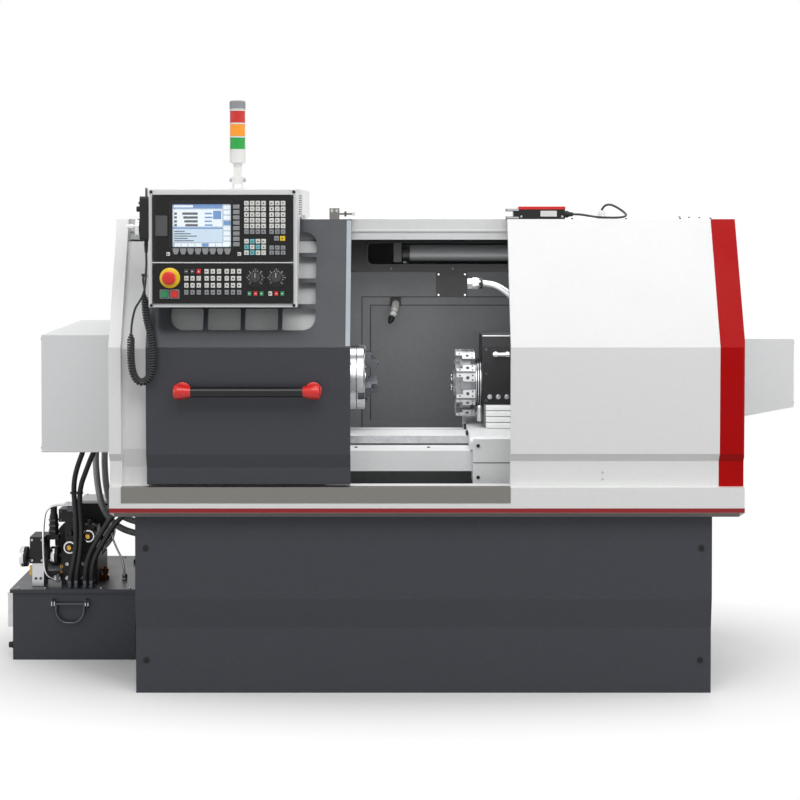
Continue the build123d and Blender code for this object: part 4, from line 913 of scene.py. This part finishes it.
key_grid((-505, 1467), 4, 6, lambda c, r: (key_grey if r == 5 else key_white, (c * 3 + r * 2) % 5))
key_grid((-438.5, 1467), 3, 6, lambda c, r: (key_grey if r == 5 else key_white, (c + r * 3 + 1) % 5))
arrows = ((1, 0), (0, 1), (2, 1), (1, 2))
key_grid((-505, 1379), 4, 3, lambda c, r: (key_cyan if (c, r) in arrows else key_white, (c * 2 + r) % 5))
key_grid((-438.5, 1369.5), 3, 2, lambda c, r: (key_grey, (c + r * 2) % 5), (17, 15), (14.5, 13))
for column in range(8):
    soft_x = -664 + (column - 3.5) * 22
    soft_key = ((-9.4, 1375), (9.4, 1375), (9.4, 1368), (5, 1357), (-5, 1357), (-9.4, 1368))
    keys.extruded([(soft_x + dx, PANEL_Y, z) for dx, z in soft_key], (0, -4, 0), key_grey)
key_grid((-561, 1443), 1, 8, lambda c, r: (key_grey, None), (17, 16), (20, 13))
key_cap(-423, 1404.5, 16, 15, yellow_plastic, 1)
key_cap(-441, 1404.5, 14.5, 14.5, key_grey, 4)
for small_x in (-764, -552):
    key_cap(small_x, 1358, 11, 11, key_white, 1)


def block_key(block, column, row):
    """The material and the sign of a key in one of the three lower blocks."""
    if (block, column, row) == (0, 2, 0):
        material = red_plastic
    elif block == 0 and row == 0:
        material = key_dark
    else:
        material = key_grey if row == 3 else key_white
    return material, (column + row + block) % 5


for block, block_x in enumerate((-691.5, -631, -571)):
    key_grid((block_x, 1275), 3, 4, lambda c, r: block_key(block, c, r), (18.5, 20.8), (13.5, 15))
for dial_x, first_colour in ((FEED_X, green_plastic), (SPEED_X, key_white)):
    for column, colour in enumerate((first_colour, red_plastic, green_plastic)):
        key_cap(dial_x + (column - 1) * 18, 1240, 12, 14, colour, (1, 0, 1)[column])
keys.done("machine", 0.5, 2)
marks.done("machine", 0)


def words(name, entries, size, material):
    """Numbers as flat meshes that face the front, each centred on its place."""
    joined = bmesh.new()
    for text, place in entries:
        curve = bpy.data.curves.new("figures", "FONT")
        curve.body = text
        curve.size = size * MM
        curve.extrude = 0.1 * MM
        curve.resolution_u = 2
        curve.align_x = "CENTER"
        curve.align_y = "CENTER"
        data = mesh_from(linked("figures", curve))
        data.transform(Matrix.Translation(Vector(place) * MM) @ Matrix.Rotation(pi / 2, 4, "X"))
        joined.from_mesh(data)
    mesh = bpy.data.meshes.new(name)
    joined.to_mesh(mesh)
    joined.free()
    mesh.materials.append(material)
    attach(linked(name, mesh), "machine")


dials = Piece("dial_scales")
figures = []
for dial_x in (FEED_X, SPEED_X):
    dials.turned((dial_x, PANEL_Y, DIAL_Z), FRONT, [(0.4, 20), (0.4, 28.6), (1.5, 28.6), (2, 28), (2, 20)],
                 gloss_black, 48)
    for tick in range(19):
        angle = radians(-135 + 15 * tick)
        tick_end, half_width = (20.4, 0.45) if tick % 2 else (22, 0.8)
        dials.spoke((dial_x, PANEL_Y - 2, DIAL_Z), angle, (18.2, tick_end), half_width, (0, -0.3, 0),
                    key_white)
        if tick % 3 == 0:
            place = (dial_x + 25 * sin(angle), PANEL_Y - 2.2, DIAL_Z + 25 * cos(angle))
            figures.append((str(tick // 3 * 20), place))
dials.done("machine", 0)
words("dial_numbers", figures, 4.6, key_white)
for knob_x, knob_body in ((FEED_X, "feed_knob"), (SPEED_X, "spindle_knob")):
    pointer = Piece(knob_body + "_pointer")
    pointer.box((knob_x - 0.9, knob_x + 0.9), (-625.3, -625), (1289, 1302.4), key_white)
    for rib in range(20):
        angle = 2 * pi * rib / 20
        rib_place = (knob_x + 15.7 * sin(angle), -608, DIAL_Z + 15.7 * cos(angle))
        pointer.turned(rib_place, FRONT, capped((0, 1.7), (9, 1.3), (10, 0.6)), knob_plastic, 8)
    pointer.done(knob_body, 0)

stop_ring = Piece("stop_collar")
stop_ring.turned((-759, PANEL_Y, 1286.7), FRONT, [(0, 12), (0, 30.6), (3.4, 30.6), (6.5, 24.6), (6.5, 12)],
                 yellow_plastic, 56)
stop_ring.done("machine", 0.6)
for name, centre in (("start_ring", (-775, 1238.5)), ("stop_ring", (-745, 1238.5))):
    plate(name, rounded(centre, (28.6, 27.6), 3.4), [rounded(centre, (22.6, 21.6), 3)], 3.4, grey_plastic,
          facing_front(-606.2), 0.5)

fittings = Piece("control_fasteners")
fittings.screws((-389.5, -815.5), (-597,), (1543.5, 1204.5), FRONT, 4.6, black_plastic)
fittings.screws((-808, -395), (PANEL_Y,), (1531, 1338, 1327, 1214), FRONT, 2.2)
fittings.box((-812, -391), (PANEL_Y - 0.3, PANEL_Y), (1331, 1334), grey_paint)
fittings.box((-811, -802), (PANEL_Y - 0.2, PANEL_Y), (1336, 1533), gloss_black)
fittings.box((-824.4, -824), (-440, -260), (1470, 1540), grey_plastic)
for slit in range(9):
    fittings.box((-824.7, -824.2), (-430, -270), (1475 + slit * 7, 1478 + slit * 7), black_plastic)
    fittings.box((-380.5, -380.1), (-500, -330), (1475 + slit * 7, 1478 + slit * 7), black_plastic)
fittings.screws((-800, -600, -405), (145,), (1535, 1478), BACK, 4)
fittings.done("machine", 0.25)

# Pendant details and the cord's strain relief

pendant = Piece("pendant_details")
for tick in range(50):
    angle = 2 * pi * tick / 50
    tick_start = 27 if tick % 5 == 0 else 28.5
    pendant.spoke((-852, -562, 1436), angle, (tick_start, 30.5), 0.35, (-0.3, 0, 0), key_white, "x")
for button_y, button_material in ((-584, green_plastic), (-562, key_white), (-540, red_plastic)):
    pendant.turned((-850, button_y, 1510), LEFT, capped((0, 5.4), (2, 5.4), (2, 4.4), (5, 4)),
                   button_material, 24)
pendant.turned((-836, -562, 1388.5), DOWN, [(0, 3.4), (0, 7), (3, 7), (3, 5.6), (6, 6.6), (9, 5.3),
                                            (12, 6.2), (15, 5), (18, 5.8), (21, 4.6), (24, 5.2), (28, 4),
                                            (28, 3.4)], rubber, 24)
pendant.turned((-835.5, -551, 1293), LEFT, [(0, 3.5), (0, 6), (9, 4.6), (16, 3.9), (16, 3.5)], rubber, 20)
pendant.along_y([(-836, 1526), (-836, 1556), (-833, 1556), (-833, 1529), (-826, 1529), (-826, 1526)],
                (-578, -546), dark_steel)
pendant.done("machine", 0.3)

# Signal tower

tower = Piece("tower_lens_stack")
for tier, lens in enumerate((lens_green, amber_glow_lens, lens_red)):
    low = 1680 + tier * 42
    outline = [(low, 0), (low, 25)]
    for ring in range(9):
        outline += [(low + 2 + ring * 4, 25), (low + 3 + ring * 4, 24.2), (low + 5 + ring * 4, 24.2)]
    outline += [(low + 38, 25), (low + 38, 22.4), (low + 42, 22.4), (low + 42, 0)]
    tower.turned((-585, -300, 0), UP, outline, lens, 56)
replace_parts(tower.done("tower", 0.2, 1, 30), "tower_lenses")
tower_trim = Piece("tower_trim")
for tier in range(4):
    tower_trim.turned((-585, -300, 1674.5 + tier * 42), UP, collar(22.6, 25.5, 4.5), white_plastic, 56)
tower_trim.turned((-585, -300, 1808), UP, [(0, 20), (0, 25.4), (22, 25.4), (25.4, 21.4), (25.4, 0)],
                  grey_plastic, 56)
tower_trim.done("tower", 0.4)
for side in (-1, 1):
    nut = Piece("tower_nut_left" if side < 0 else "tower_nut_right")
    nut.hex_head((-585 + side * 20, -300, 1584), (side, 0, 0), 7, 6, steel)
    nut.done("machine", 0.3)

# Interlock switch and roof gland

switch = Piece("interlock_details")
switch.box((299, 446), (-353, -338), (1490.5, 1499.5), red_plastic)
switch.box((368, 419), (-353.2, -352), (1468, 1486), white_plastic)
switch.screws((308, 436), (-352,), (1468,), FRONT, 3.4, steel)
for strap_z in ((1462, 1467), (1486, 1491)):
    switch.box((262, 300), (-353, -352), strap_z, steel)
switch.turned((577, -211, 1460), UP, [(0, 12), (0, 17), (6.5, 17), (8, 13), (12, 12.5), (18.5, 12.5),
                                      (20, 10), (25.5, 7.4), (25.5, 5)], white_plastic, 24)
switch.done("machine", 0.5)
key = Piece("lock_key_details")
for nut_x in (-285, -270):
    key.hex_head((nut_x, -352, 1486), FRONT, 4, 3.5, steel)
key.box((-246, -240), (-356, -328), (1468, 1484), dark_steel)
key.box((-222, -213.6), (-350.4, -333.6), (1471, 1481), white_plastic)
key.done("door", 0.5)

# Inside: lamp, junction box, nozzle, bed covers and guard

lamp = Piece("lamp_ends")
for end_x, inwards in ((-66, 1), (546, -1)):
    lamp.turned((end_x, -128, 1347), (inwards, 0, 0),
                [(0, 0), (0, 25), (3, 28), (24, 28), (27, 27.2), (27, 20)], black_plastic, 40)
lamp.box((-92, -66), (-152, -112), (1318, 1382), lamp_black)
lamp.screws((-280, -100, 100, 300, 500, 700, 900), (-170,), (1298,), FRONT, 3.5)
lamp.done("machine", 0.6)
plate("lamp_slot_frame", rounded((232, 1347), (834, 84), 22), [rounded((232, 1347), (814, 68), 17)], 1.6,
      shelf_paint, facing_front(-171.6), 0.4)

junction = Piece("junction_details")
junction.box((46, 148), (-163, -158), (1204, 1286), shelf_paint)
junction.screws((54, 140), (-163,), (1212, 1279), FRONT, 3.4, steel)
junction.turned((146, -110, 1246), RIGHT, [(0, 12), (0, 20), (3, 20), (3, 18.6), (20, 18.6)], steel, 6,
                pi / 6)
junction.turned((166, -110, 1246), RIGHT, [(0, 12), (0, 19.6), (16, 19.6), (22, 16.6), (34, 14.4), (36, 12)],
                steel, 24)
junction.done("machine", 0.5)

nozzle = Piece("coolant_nozzle")
nozzle.box((-104, -66), (388, 400), (1142, 1172), black_plastic)
joint_places = [(-84, 384, 1152), (-85, 366, 1146), (-87, 348, 1136), (-91, 334, 1122), (-97, 322, 1107)]
for first, second in zip(joint_places, joint_places[1:]):
    heading = Vector(second) - Vector(first)
    nozzle.turned(first, heading, [(0, 8), (0, 11), (3, 13), (7, 13), (10, 11.5), (14, 9), (17, 9)],
                  white_plastic, 24)
nozzle.turned(joint_places[-1], (-8, -12, -18),
              [(0, 5), (0, 9.5), (4, 12.5), (9, 11.5), (26, 6), (26, 3.5), (18, 3.5)], black_plastic, 24)
nozzle.done("machine", 0.4)

# The ground tops of the ways and the plate between them take flat white paint in place of steel: painted
# reflection of the light they catch
ways = Piece("bed_way_cover")
ways.box((-298, 540), (-149, -47), (751, 757.7), way_reflection_white)
for way_y in ((-197.6, -150.4), (-45.6, 1.6)):
    ways.box((-879, 879), way_y, (757.9, 758.15), way_reflection_white)
ways.box((-879, 879), (-198.3, -198), (734, 757.6), steel)
for bolt_x in (-212, 20, 560, 800):
    ways.hex_head((bolt_x, -250, 728), UP, 5, 2.6, dark_steel)
ways.box((-305, 880), (-322.8, -322), (664, 668), grey_paint)
ways.done("machine", 0.3)

# Y and Z of the spindle's axis and of the turret's
SPINDLE = (-100, 938)
TURRET = (0, 910)

nose = Piece("spindle_wall_ring")
nose.turned((-300, *SPINDLE), RIGHT, [(0, 72), (0, 96), (3, 96), (5, 93), (5, 74), (3, 72)], black_cast, 64)
nose.screw_circle((-297, *SPINDLE), 86, 8, RIGHT, 3.6, steel, 0.5)
nose.done("machine", 0.5)

# Thin dark lines on the left and top edges of the rear wall's two steps: painted shade where the steps' lips
# shade the wall
step_shade_lines = Piece("rear_step_shade_lines")
for line_y, x0, x1, z0, z1 in ((400, -207, 930, 700, 1175.5), (404, -176.5, 900, 730, 1145.5)):
    step_shade_lines.box((x0, x0 + 3), (line_y - 0.8, line_y), (z0, z1), step_shade_paint)
    step_shade_lines.box((x0 + 3, x1), (line_y - 0.8, line_y), (z1 - 3, z1), step_shade_paint)
step_shade_lines.done("machine", 0)

# Chuck and jaws


def round_axis(axis, x, radius, angle, across=0.0):
    """A point round an axis along X that is given by its Y and Z, at an angle from the top."""
    y, z = axis
    return (x, y - radius * sin(angle) + across * cos(angle), z + radius * cos(angle) + across * sin(angle))


face = Piece("chuck_face_details")
for ring, depth in ((98, 0.8), (52, 1.0)):
    face.turned((-186, *SPINDLE), RIGHT, [(0, ring - 3), (0, ring), (depth, ring - 0.4),
                                          (depth, ring - 2.6)], steel, 72)
face.turned((-186, *SPINDLE), RIGHT, [(-1, 27.6), (2.5, 29.5), (4, 33), (4, 36), (1, 38), (-1, 38)], steel,
            56)
for third in range(3):
    angle = radians(60 + 120 * third)
    face.screw(round_axis(SPINDLE, -186, 76, angle), RIGHT, 8)
    face.screw(round_axis(SPINDLE, -186, 46, angle), RIGHT, 5)
    face.turned(round_axis(SPINDLE, -238, 104.6, angle), (0, -sin(angle), cos(angle)), puck(9, 1),
                dark_steel, 28)
    jaw_angle = radians(120 * third)
    for side in (-1, 1):
        guide = [round_axis(SPINDLE, -186, radius, jaw_angle, side * across)
                 for radius, across in ((36, 14.4), (101, 14.4), (101, 17.4), (36, 17.4))]
        face.extruded(guide, (1.2, 0, 0), steel)
for rim_x in (-262, -214):
    face.turned((rim_x, *SPINDLE), RIGHT, collar(104, 105.4, 3), dark_steel, 96)
face.done("spindle", 0.3)

for number in range(3):
    angle = radians(120 * number)
    jaw = Piece(f"jaw_{number + 1}_details")
    for screw_x, radius in ((-164, 73), (-146, 47)):
        jaw.screw(round_axis(SPINDLE, screw_x, radius, angle), RIGHT, 7, dark_steel, 4)
    for tooth in range(7):
        points = [round_axis(SPINDLE, -184 + tooth * 5 + shift, 32.1 - lift, angle, -17.4)
                  for shift, lift in ((0, 0), (2.4, 0), (1.2, 1.1))]
        jaw.extruded(points, (0, 34.8 * cos(angle), 34.8 * sin(angle)), steel)
    jaw.done(f"jaw_{number + 1}", 0.3)

# Turret: clamp blocks' faces, the neck's rings and the body's fittings

pad_outline = [(136.2, 14), (177, 14), (177, 40), (115, 40), (115, 28.4), (136.2, 28.4)]
clamps = Piece("turret_clamp_details")
for station in range(8):
    angle = radians(45 * station)
    outward = Vector((0, -sin(angle), cos(angle)))
    for side in (-1, 1):
        pad = [round_axis(TURRET, x, 103.4, angle, side * across) for x, across in pad_outline]
        clamps.extruded(pad, 4 * outward, turret_steel)
        clamps.turned(round_axis(TURRET, 152, 107.3, angle, side * 26), outward,
                      [(0, 0), (0, 5.6), (0.5, 5.6), (0.5, 4.4), (0.2, 0)], dark_steel, 24)
        for screw_x, across in ((126, 34), (168, 34), (168, 19)):
            clamps.turned(round_axis(TURRET, screw_x, 107.3, angle, side * across), outward,
                          [(0, 0), (0, 2.9), (0.5, 2.9), (0.5, 2), (0.2, 0)], dark_steel, 16)
    points = [round_axis(TURRET, 113.8, radius, angle, across)
              for radius, across in ((84, -12.5), (84, 12.5), (70, 9), (70, -9))]
    clamps.extruded(points, (-1.2, 0, 0), steel)
    clamps.turned(round_axis(TURRET, 114, 62, angle), LEFT,
                  capped((0, 5), (1.6, 5), (2.2, 4.2), (2.2, 2.2), (1, 2)), dark_steel, 20)
clamps.turned((106, *TURRET), LEFT, capped((0, 33), (1.2, 33), (2.4, 31)), dark_steel, 56)
clamps.screw_circle((103.6, *TURRET), 24, 6, LEFT, 4, steel)
clamps.done("turret", 0.4)

body = Piece("turret_body_details")
for ring_x, ring_r in ((179.4, 77), (186, 81.5), (193.5, 84)):
    body.turned((ring_x, *TURRET), RIGHT, [(0, 60), (0, ring_r - 1), (1, ring_r), (4.2, ring_r),
                                           (5.2, ring_r - 1), (5.2, 60)], aluminium, 72)
body.box((201, 399), (-86, 89), (1071, 1074), aluminium)
for plug_x in (224, 252, 280, 330, 370):
    body.hex_head((plug_x, -110, 874), FRONT, 6.5, 7, steel)
body.turned((237, -122, 1014), RIGHT, capped((0, 9), (12, 9), (13, 6.4), (38, 6.4), (39, 9), (50, 9)),
            chrome, 24)
for stub_x in (243, 281):
    body.turned((stub_x, -110, 1014), FRONT, [(0, 5.5), (0, 9.5), (4, 9.5), (5, 6), (12, 6)], chrome, 20)
for face_y, heading in ((-110, FRONT), (118, BACK)):
    body.screws((212, 388), (face_y,), (862, 950, 1030), heading, 4.6)
body.turned((450, 10, 960), RIGHT, capped((0, 40), (3, 40), (4, 38)), black_plastic, 48)
for step in range(4):
    low = 773.6 + 19 * step
    body.along_x([(-127.4 + 2 * step, low), (-112, low), (-112, low + 16.4), (-123.4 + 2 * step, low + 16.4),
                  (-127.4 + 2 * step, low + 13)], (211, 389), white_paint)
body.turned((191, -100, 793), UP, capped((0, 8), (4, 9.4), (46, 9.4), (50, 8), (53, 5)), aluminium, 28)
body.box((190, 206), (-104, -96), (812, 822), dark_steel)
body.done("cross", 0.6)

carriage = Piece("carriage_details")
carriage.screws((172.5, 300, 415), (-370,), (751, 652), FRONT, 5.5, black_plastic)
for edge_x, out in ((150, -1), (440, 1)):
    for wiper_y in ((-196, -150), (-46, 0)):
        low_x, high_x = sorted((edge_x, edge_x + out * 7))
        carriage.box((low_x, high_x), wiper_y, (758.4, 770), rubber)
        carriage.screw((edge_x + out * 7, sum(wiper_y) / 2, 765), (out, 0, 0), 3, steel)
carriage.box((157, 430), (-371, -370), (696, 699), dark_steel)
carriage.turned((365, -370, 700), FRONT, capped((0, 9), (3, 9), (3, 7), (9, 7)), chrome, 28)
carriage.box((262, 338), (376, 378), (774, 828), black_plastic)
carriage.done("carriage", 0.5)

tail = Piece("tailstock_details")
tail.turned((638, *SPINDLE), RIGHT, [(-8, 32.6), (-8, 44), (-6, 46), (2, 46), (2, 32.6)], steel, 48)
tail.screw_circle((630, *SPINDLE), 39, 6, LEFT, 3)
tail.turned((735, -100, 990), UP, capped((0, 16), (10, 14), (18, 9)), black_cast, 32)
lever = (0.45, -0.75, 0.6)
tail.turned((735, -100, 1006), lever, capped((0, 5), (78, 4.2)), steel, 20)
tail.turned((770, -158, 1053), lever, capped((0, 8), (4, 11), (14, 12), (24, 9), (27, 4)), black_plastic, 24)
for bolt_x in (670, 830):
    tail.hex_head((bolt_x, -170, 806), (0, -0.65, 0.76), 7, 6, dark_steel)
tail.done("tailstock", 0.5)

# Hydraulic unit


def gauge(name, x, y, z):
    """A pressure gauge that faces left: rim, dial, ticks, needle and window."""
    made = Piece(name)
    made.turned((x, y, z), LEFT, [(20, 28.6), (20, 33.6), (29, 34), (33, 32), (34, 30), (34, 28.6)], chrome,
                56)
    made.turned((x, y, z), LEFT, capped((31.9, 28.8), (32.4, 28.8)), white_plastic, 48)
    for tick in range(28):
        angle = radians(-135 + 10 * tick)
        tick_start, half_width = (21, 0.6) if tick % 3 == 0 else (24, 0.3)
        made.spoke((x - 32.4, y, z), -angle, (tick_start, 26), half_width, (-0.3, 0, 0), black_plastic, "x")
    made.turned((x - 32.4, y, z), LEFT, capped((0, 3.4), (1.2, 3)), black_plastic, 20)
    made.extruded([(x - 32.8, y + 3, z - 2), (x - 32.8, y - 17, z + 13), (x - 32.8, y - 3, z + 2)],
                  (-0.5, 0, 0), red_plastic)
    made.turned((x + 2, y, z - 30), DOWN,
                capped((0, 7.5), (10, 7.5), (11, 5.4), (20, 5.4), (21, 8.4), (30, 8.4)), brass, 6)
    made.turned((x - 33, y, z), LEFT, puck(28.6, 0.5), screen_cover, 40)
    made.done("machine", 0.3)


gauge("gauge_front", -1300, -40, 333)
gauge("gauge_upper", -1203, -14, 330)

valves = Piece("valve_details")
for coil_x, coil_z in ((-1168, 366), (-1106, 404)):
    origin = (coil_x, -16, coil_z)
    valves.turned(origin, FRONT, [(8, 20), (8, 22.8), (14, 22.8), (14, 20)], dark_steel, 40)
    valves.turned(origin, FRONT, [(33, 8), (33, 19.6), (35, 21.4), (41, 21.4), (43, 20), (43, 16),
                                  (41, 15.6), (41, 8)], chrome, 40)
    valves.turned(origin, FRONT, capped((42, 9.4), (49, 9.4), (52, 7)), brass, 28)
    valves.box((coil_x - 15, coil_x + 15), (-44, -22), (coil_z + 18, coil_z + 36), black_plastic)
    valves.turned((coil_x, -33, coil_z + 36), UP, capped((0, 7.6), (8, 7), (14, 5)), black_plastic, 24)
valves.box((-1294.4, -1255.6), (-50.5, 20.5), (236, 313.6), aluminium)
valves.box((-1203.6, -1081.6), (-20.6, 60.6), (236, 341.4), black_cast)
for bolt_x in (-1183, -1129):
    valves.screw((bolt_x, -20.6, 304), FRONT, 6.6, steel)
    valves.extruded([(bolt_x - 9, -20.6, 256), (bolt_x, -20.6, 247), (bolt_x + 9, -20.6, 256),
                     (bolt_x, -20.6, 265)], (0, -3, 0), steel)
valves.screws((-1292, -1259), (-60,), (324, 392), FRONT, 4.4, steel)
valves.screws((-1282, -1266), (-50.5,), (262,), FRONT, 4.4)
valves.box((-1192, -1156), (-14, 32), (388, 446), black_cast)
valves.box((-1211, -1153), (-24, 38), (445, 487), black_cast)
valves.screws((-1203, -1161), (-24,), (452, 480), FRONT, 4)
for ring_z in (412, 430, 448):
    valves.turned((-1230, -10, ring_z), UP, collar(12, 17.2, 5), dark_steel, 32)
valves.hex_head((-1104, 56.5, 366), BACK, 9, 9, dark_steel)
for plug_x in (-1180, -1145, -1110):
    valves.hex_head((plug_x, 60.6, 300), BACK, 8, 6, steel)
valves.done("machine", 0.7)

pipes = {
    "steel_pipe_1": (3.8, [
        (-1166, -50, 509), (-1194, -50, 509), (-1229, -50, 504), (-1250, -50, 486), (-1254, -54, 453),
        (-1254, -68, 402), (-1253, -70, 341), (-1249, -70, 286), (-1229, -60, 262), (-1206, -50, 262),
    ]),
    "steel_pipe_2": (3.4, [
        (-1050, 60, 470), (-1050, 60, 420), (-1048, 60, 380), (-1030, 60, 335), (-1006, 60, 290),
        (-1004, 60, 236),
    ]),
}
for pipe_name, (pipe_radius, pipe_route) in pipes.items():
    tube_mesh(pipe_name, evenly(route_points(pipe_route), 0.005), pipe_radius, chrome)
joints = Piece("pipe_fittings")
for place, heading in (((-1166, -50, 509), LEFT), ((-1206, -50, 262), LEFT), ((-1004, 60, 235), UP),
                       ((-1050, 60, 478), DOWN)):
    joints.turned(place, heading, [(-6, 4), (-6, 8.8), (3, 8.8), (4, 8), (5, 9.6), (15, 9.6), (17, 7),
                                   (20, 4)], steel, 6)
joints.box((-1176, -1150), (-62, -24), (487, 502), dark_steel)
joints.box((-1213, -1203), (-62, -20), (250, 275), dark_steel)
joints.box((-1067, -1040), (50, 100), (470, 482), dark_steel)
joints.turned((-1070, 60, 235), UP, capped((0, 14), (14, 14), (15, 10), (26, 10), (27, 12), (36, 12),
                                           (36, 6), (44, 6)), copper, 6)
for hose_name, hose_route in hose_routes.items():
    sleeve = 13.4 if hose_name.startswith("braided") else 10.8
    for end, following in ((hose_route[0], hose_route[1]), (hose_route[-1], hose_route[-2])):
        heading = Vector(following) - Vector(end)
        joints.turned(end, heading, [(0, 5), (0, sleeve + 1.6), (9, sleeve + 1.6), (9.5, sleeve - 1),
                                     (12, sleeve - 1), (13, sleeve), (23, sleeve), (24, sleeve - 1.4)],
                      dark_steel, 28 if sleeve > 12 else 24)
joints.done("machine", 0.4)

tie = Piece("hose_tie")
tie.extruded([(-1150 + x, y, 549) for x, y in rounded((9.5, -77), (43, 23), 11)], (0, 0, 6), black_plastic)
tie.done("machine", 0.4)

tank_trim = Piece("tank_details")
tank_trim.box((-1377, -1361), (-42, -13), (98, 212), aluminium)
# The oil level window takes the glowing amber lens material: a painted glow, since the window is no lamp
tank_trim.box((-1378.2, -1376), (-34, -21), (112, 198), amber_glow_lens)
tank_trim.screws((-1377,), (-27.5,), (105, 205), LEFT, 4.6, steel)
tank_trim.turned((-1363, -10, 30), LEFT, capped((0, 12), (8, 12), (9, 10), (18, 10)), black_plastic, 8)
for lid_x in (-1335, -1245, -1060, -965):
    for lid_y in (-76, 410):
        tank_trim.hex_head((lid_x, lid_y, 235), UP, 4.4, 3.6, steel)
tank_trim.turned((-1296, 330, 235), UP, [(0, 0), (0, 34), (6, 34), (6, 26), (14, 26), (14, 31), (44, 31),
                                         (50, 26), (52, 0)], black_plastic, 40)
tank_trim.box((-1012, -960), (300, 390), (235, 249), black_cast)
clip_outline = [(-86, 172), (-86, 206), (-90, 204), (-107, 193), (-107, 183), (-90, 172)]
for clip_x in (-1219.5, -1210.8, -1108.5, -1099.8):
    tank_trim.along_x(clip_outline, (clip_x, clip_x + 2.3), chrome)
tank_trim.done("machine", 0.4)

motor = Piece("pump_motor_details")
for fin in range(30):
    angle = radians(fin * 12)
    behind_box = cos(angle) > 0.72 and sin(angle) > -0.2
    if behind_box or cos(angle) < -0.62:
        continue
    motor.spoke((-1165, 124, 352), angle, (76, 84), 1.2, (0, 168, 0), black_cast)
motor.turned((-1165, 336, 352), BACK, [(-38, 80), (-38, 85), (-2, 85), (2, 80), (2, 0)], black_plastic, 56)
for opening in range(12):
    motor.spoke((-1165, 338, 352), radians(opening * 30), (22, 68), 2.4, (0, 0.8, 0), dark_steel)
motor.box((-1172, -1064), (115, 245), (482, 491), grey_paint)
motor.screws((-1162, -1074), (124, 236), (491,), UP, 3.6, steel)
motor.turned((-1069, 180, 440), RIGHT, capped((0, 13), (8, 13), (10, 10), (18, 9)), black_plastic, 24)
motor.done("machine", 0.5)

# Rear and sides: cabinet doors' fittings, vents, end covers' screws and base panels

rear = Piece("cabinet_details")
for hinge_x, latch_x in ((-628, -95), (508, -25)):
    for latch_z in (760, 1260):
        rear.turned((latch_x, 656, latch_z), BACK, capped((0, 15), (3, 15), (5, 12)), black_plastic, 32)
        rear.box((latch_x - 2, latch_x + 2), (661, 663), (latch_z - 9, latch_z + 9), chrome)
    for hinge_z in (700, 1010, 1320):
        rear.turned((hinge_x, 658, hinge_z - 26), UP, puck(6, 52), dark_steel, 20)
rear.box((120, 380), (656, 659), (690, 810), grey_plastic)
for slit in range(11):
    rear.along_x([(659, 698 + slit * 10), (662.5, 696 + slit * 10), (659, 703 + slit * 10)], (128, 372),
                 grey_plastic)
rear.turned((-350, 656, 1180), BACK, capped((0, 34), (4, 34), (4, 22), (20, 20)), yellow_plastic, 40)
rear.box((-356, -344), (674, 690), (1156, 1204), red_plastic)
for gland_x in (-560, -500, -440, -380):
    rear.turned((gland_x, 540, 620), DOWN, capped((0, 14), (8, 14), (10, 11), (22, 9)), black_plastic, 20)
for panel_x in (-590, 0, 590):
    rear.box((panel_x - 250, panel_x + 250), (400, 402.5), (90, 480), base_paint)
    rear.screws((panel_x - 236, panel_x, panel_x + 236), (402.5,), (104, 466), BACK, 4.4)
for slit in range(10):
    rear.along_x([(402.5, 300 + slit * 14), (407, 297 + slit * 14), (402.5, 308 + slit * 14)], (-120, 120),
                 base_paint)
rear.done("machine", 0.5)

ends = Piece("end_cover_details")
for cover_x, out, screw_ys, screw_zs in ((-1208, -1, (-287, 40, 367), (733, 1079)),
                                         (1176, 1, (-287, -100, 87), (877, 1067))):
    ends.screws((cover_x,), screw_ys, screw_zs, (out, 0, 0), 4)
ends.turned((-1208, *SPINDLE), LEFT, [(0, 34), (0, 52), (4, 52), (6, 49), (6, 34)], dark_steel, 56)
for slit in range(12):
    ends.along_y([(-1208, 770 + slit * 11), (-1211.5, 768 + slit * 11), (-1208, 776 + slit * 11)],
                 (150, 330), grey_paint)
ends.box((-1206, -960), (-300.8, -300), (722, 726), grey_paint)
ends.done("machine", 0.4)
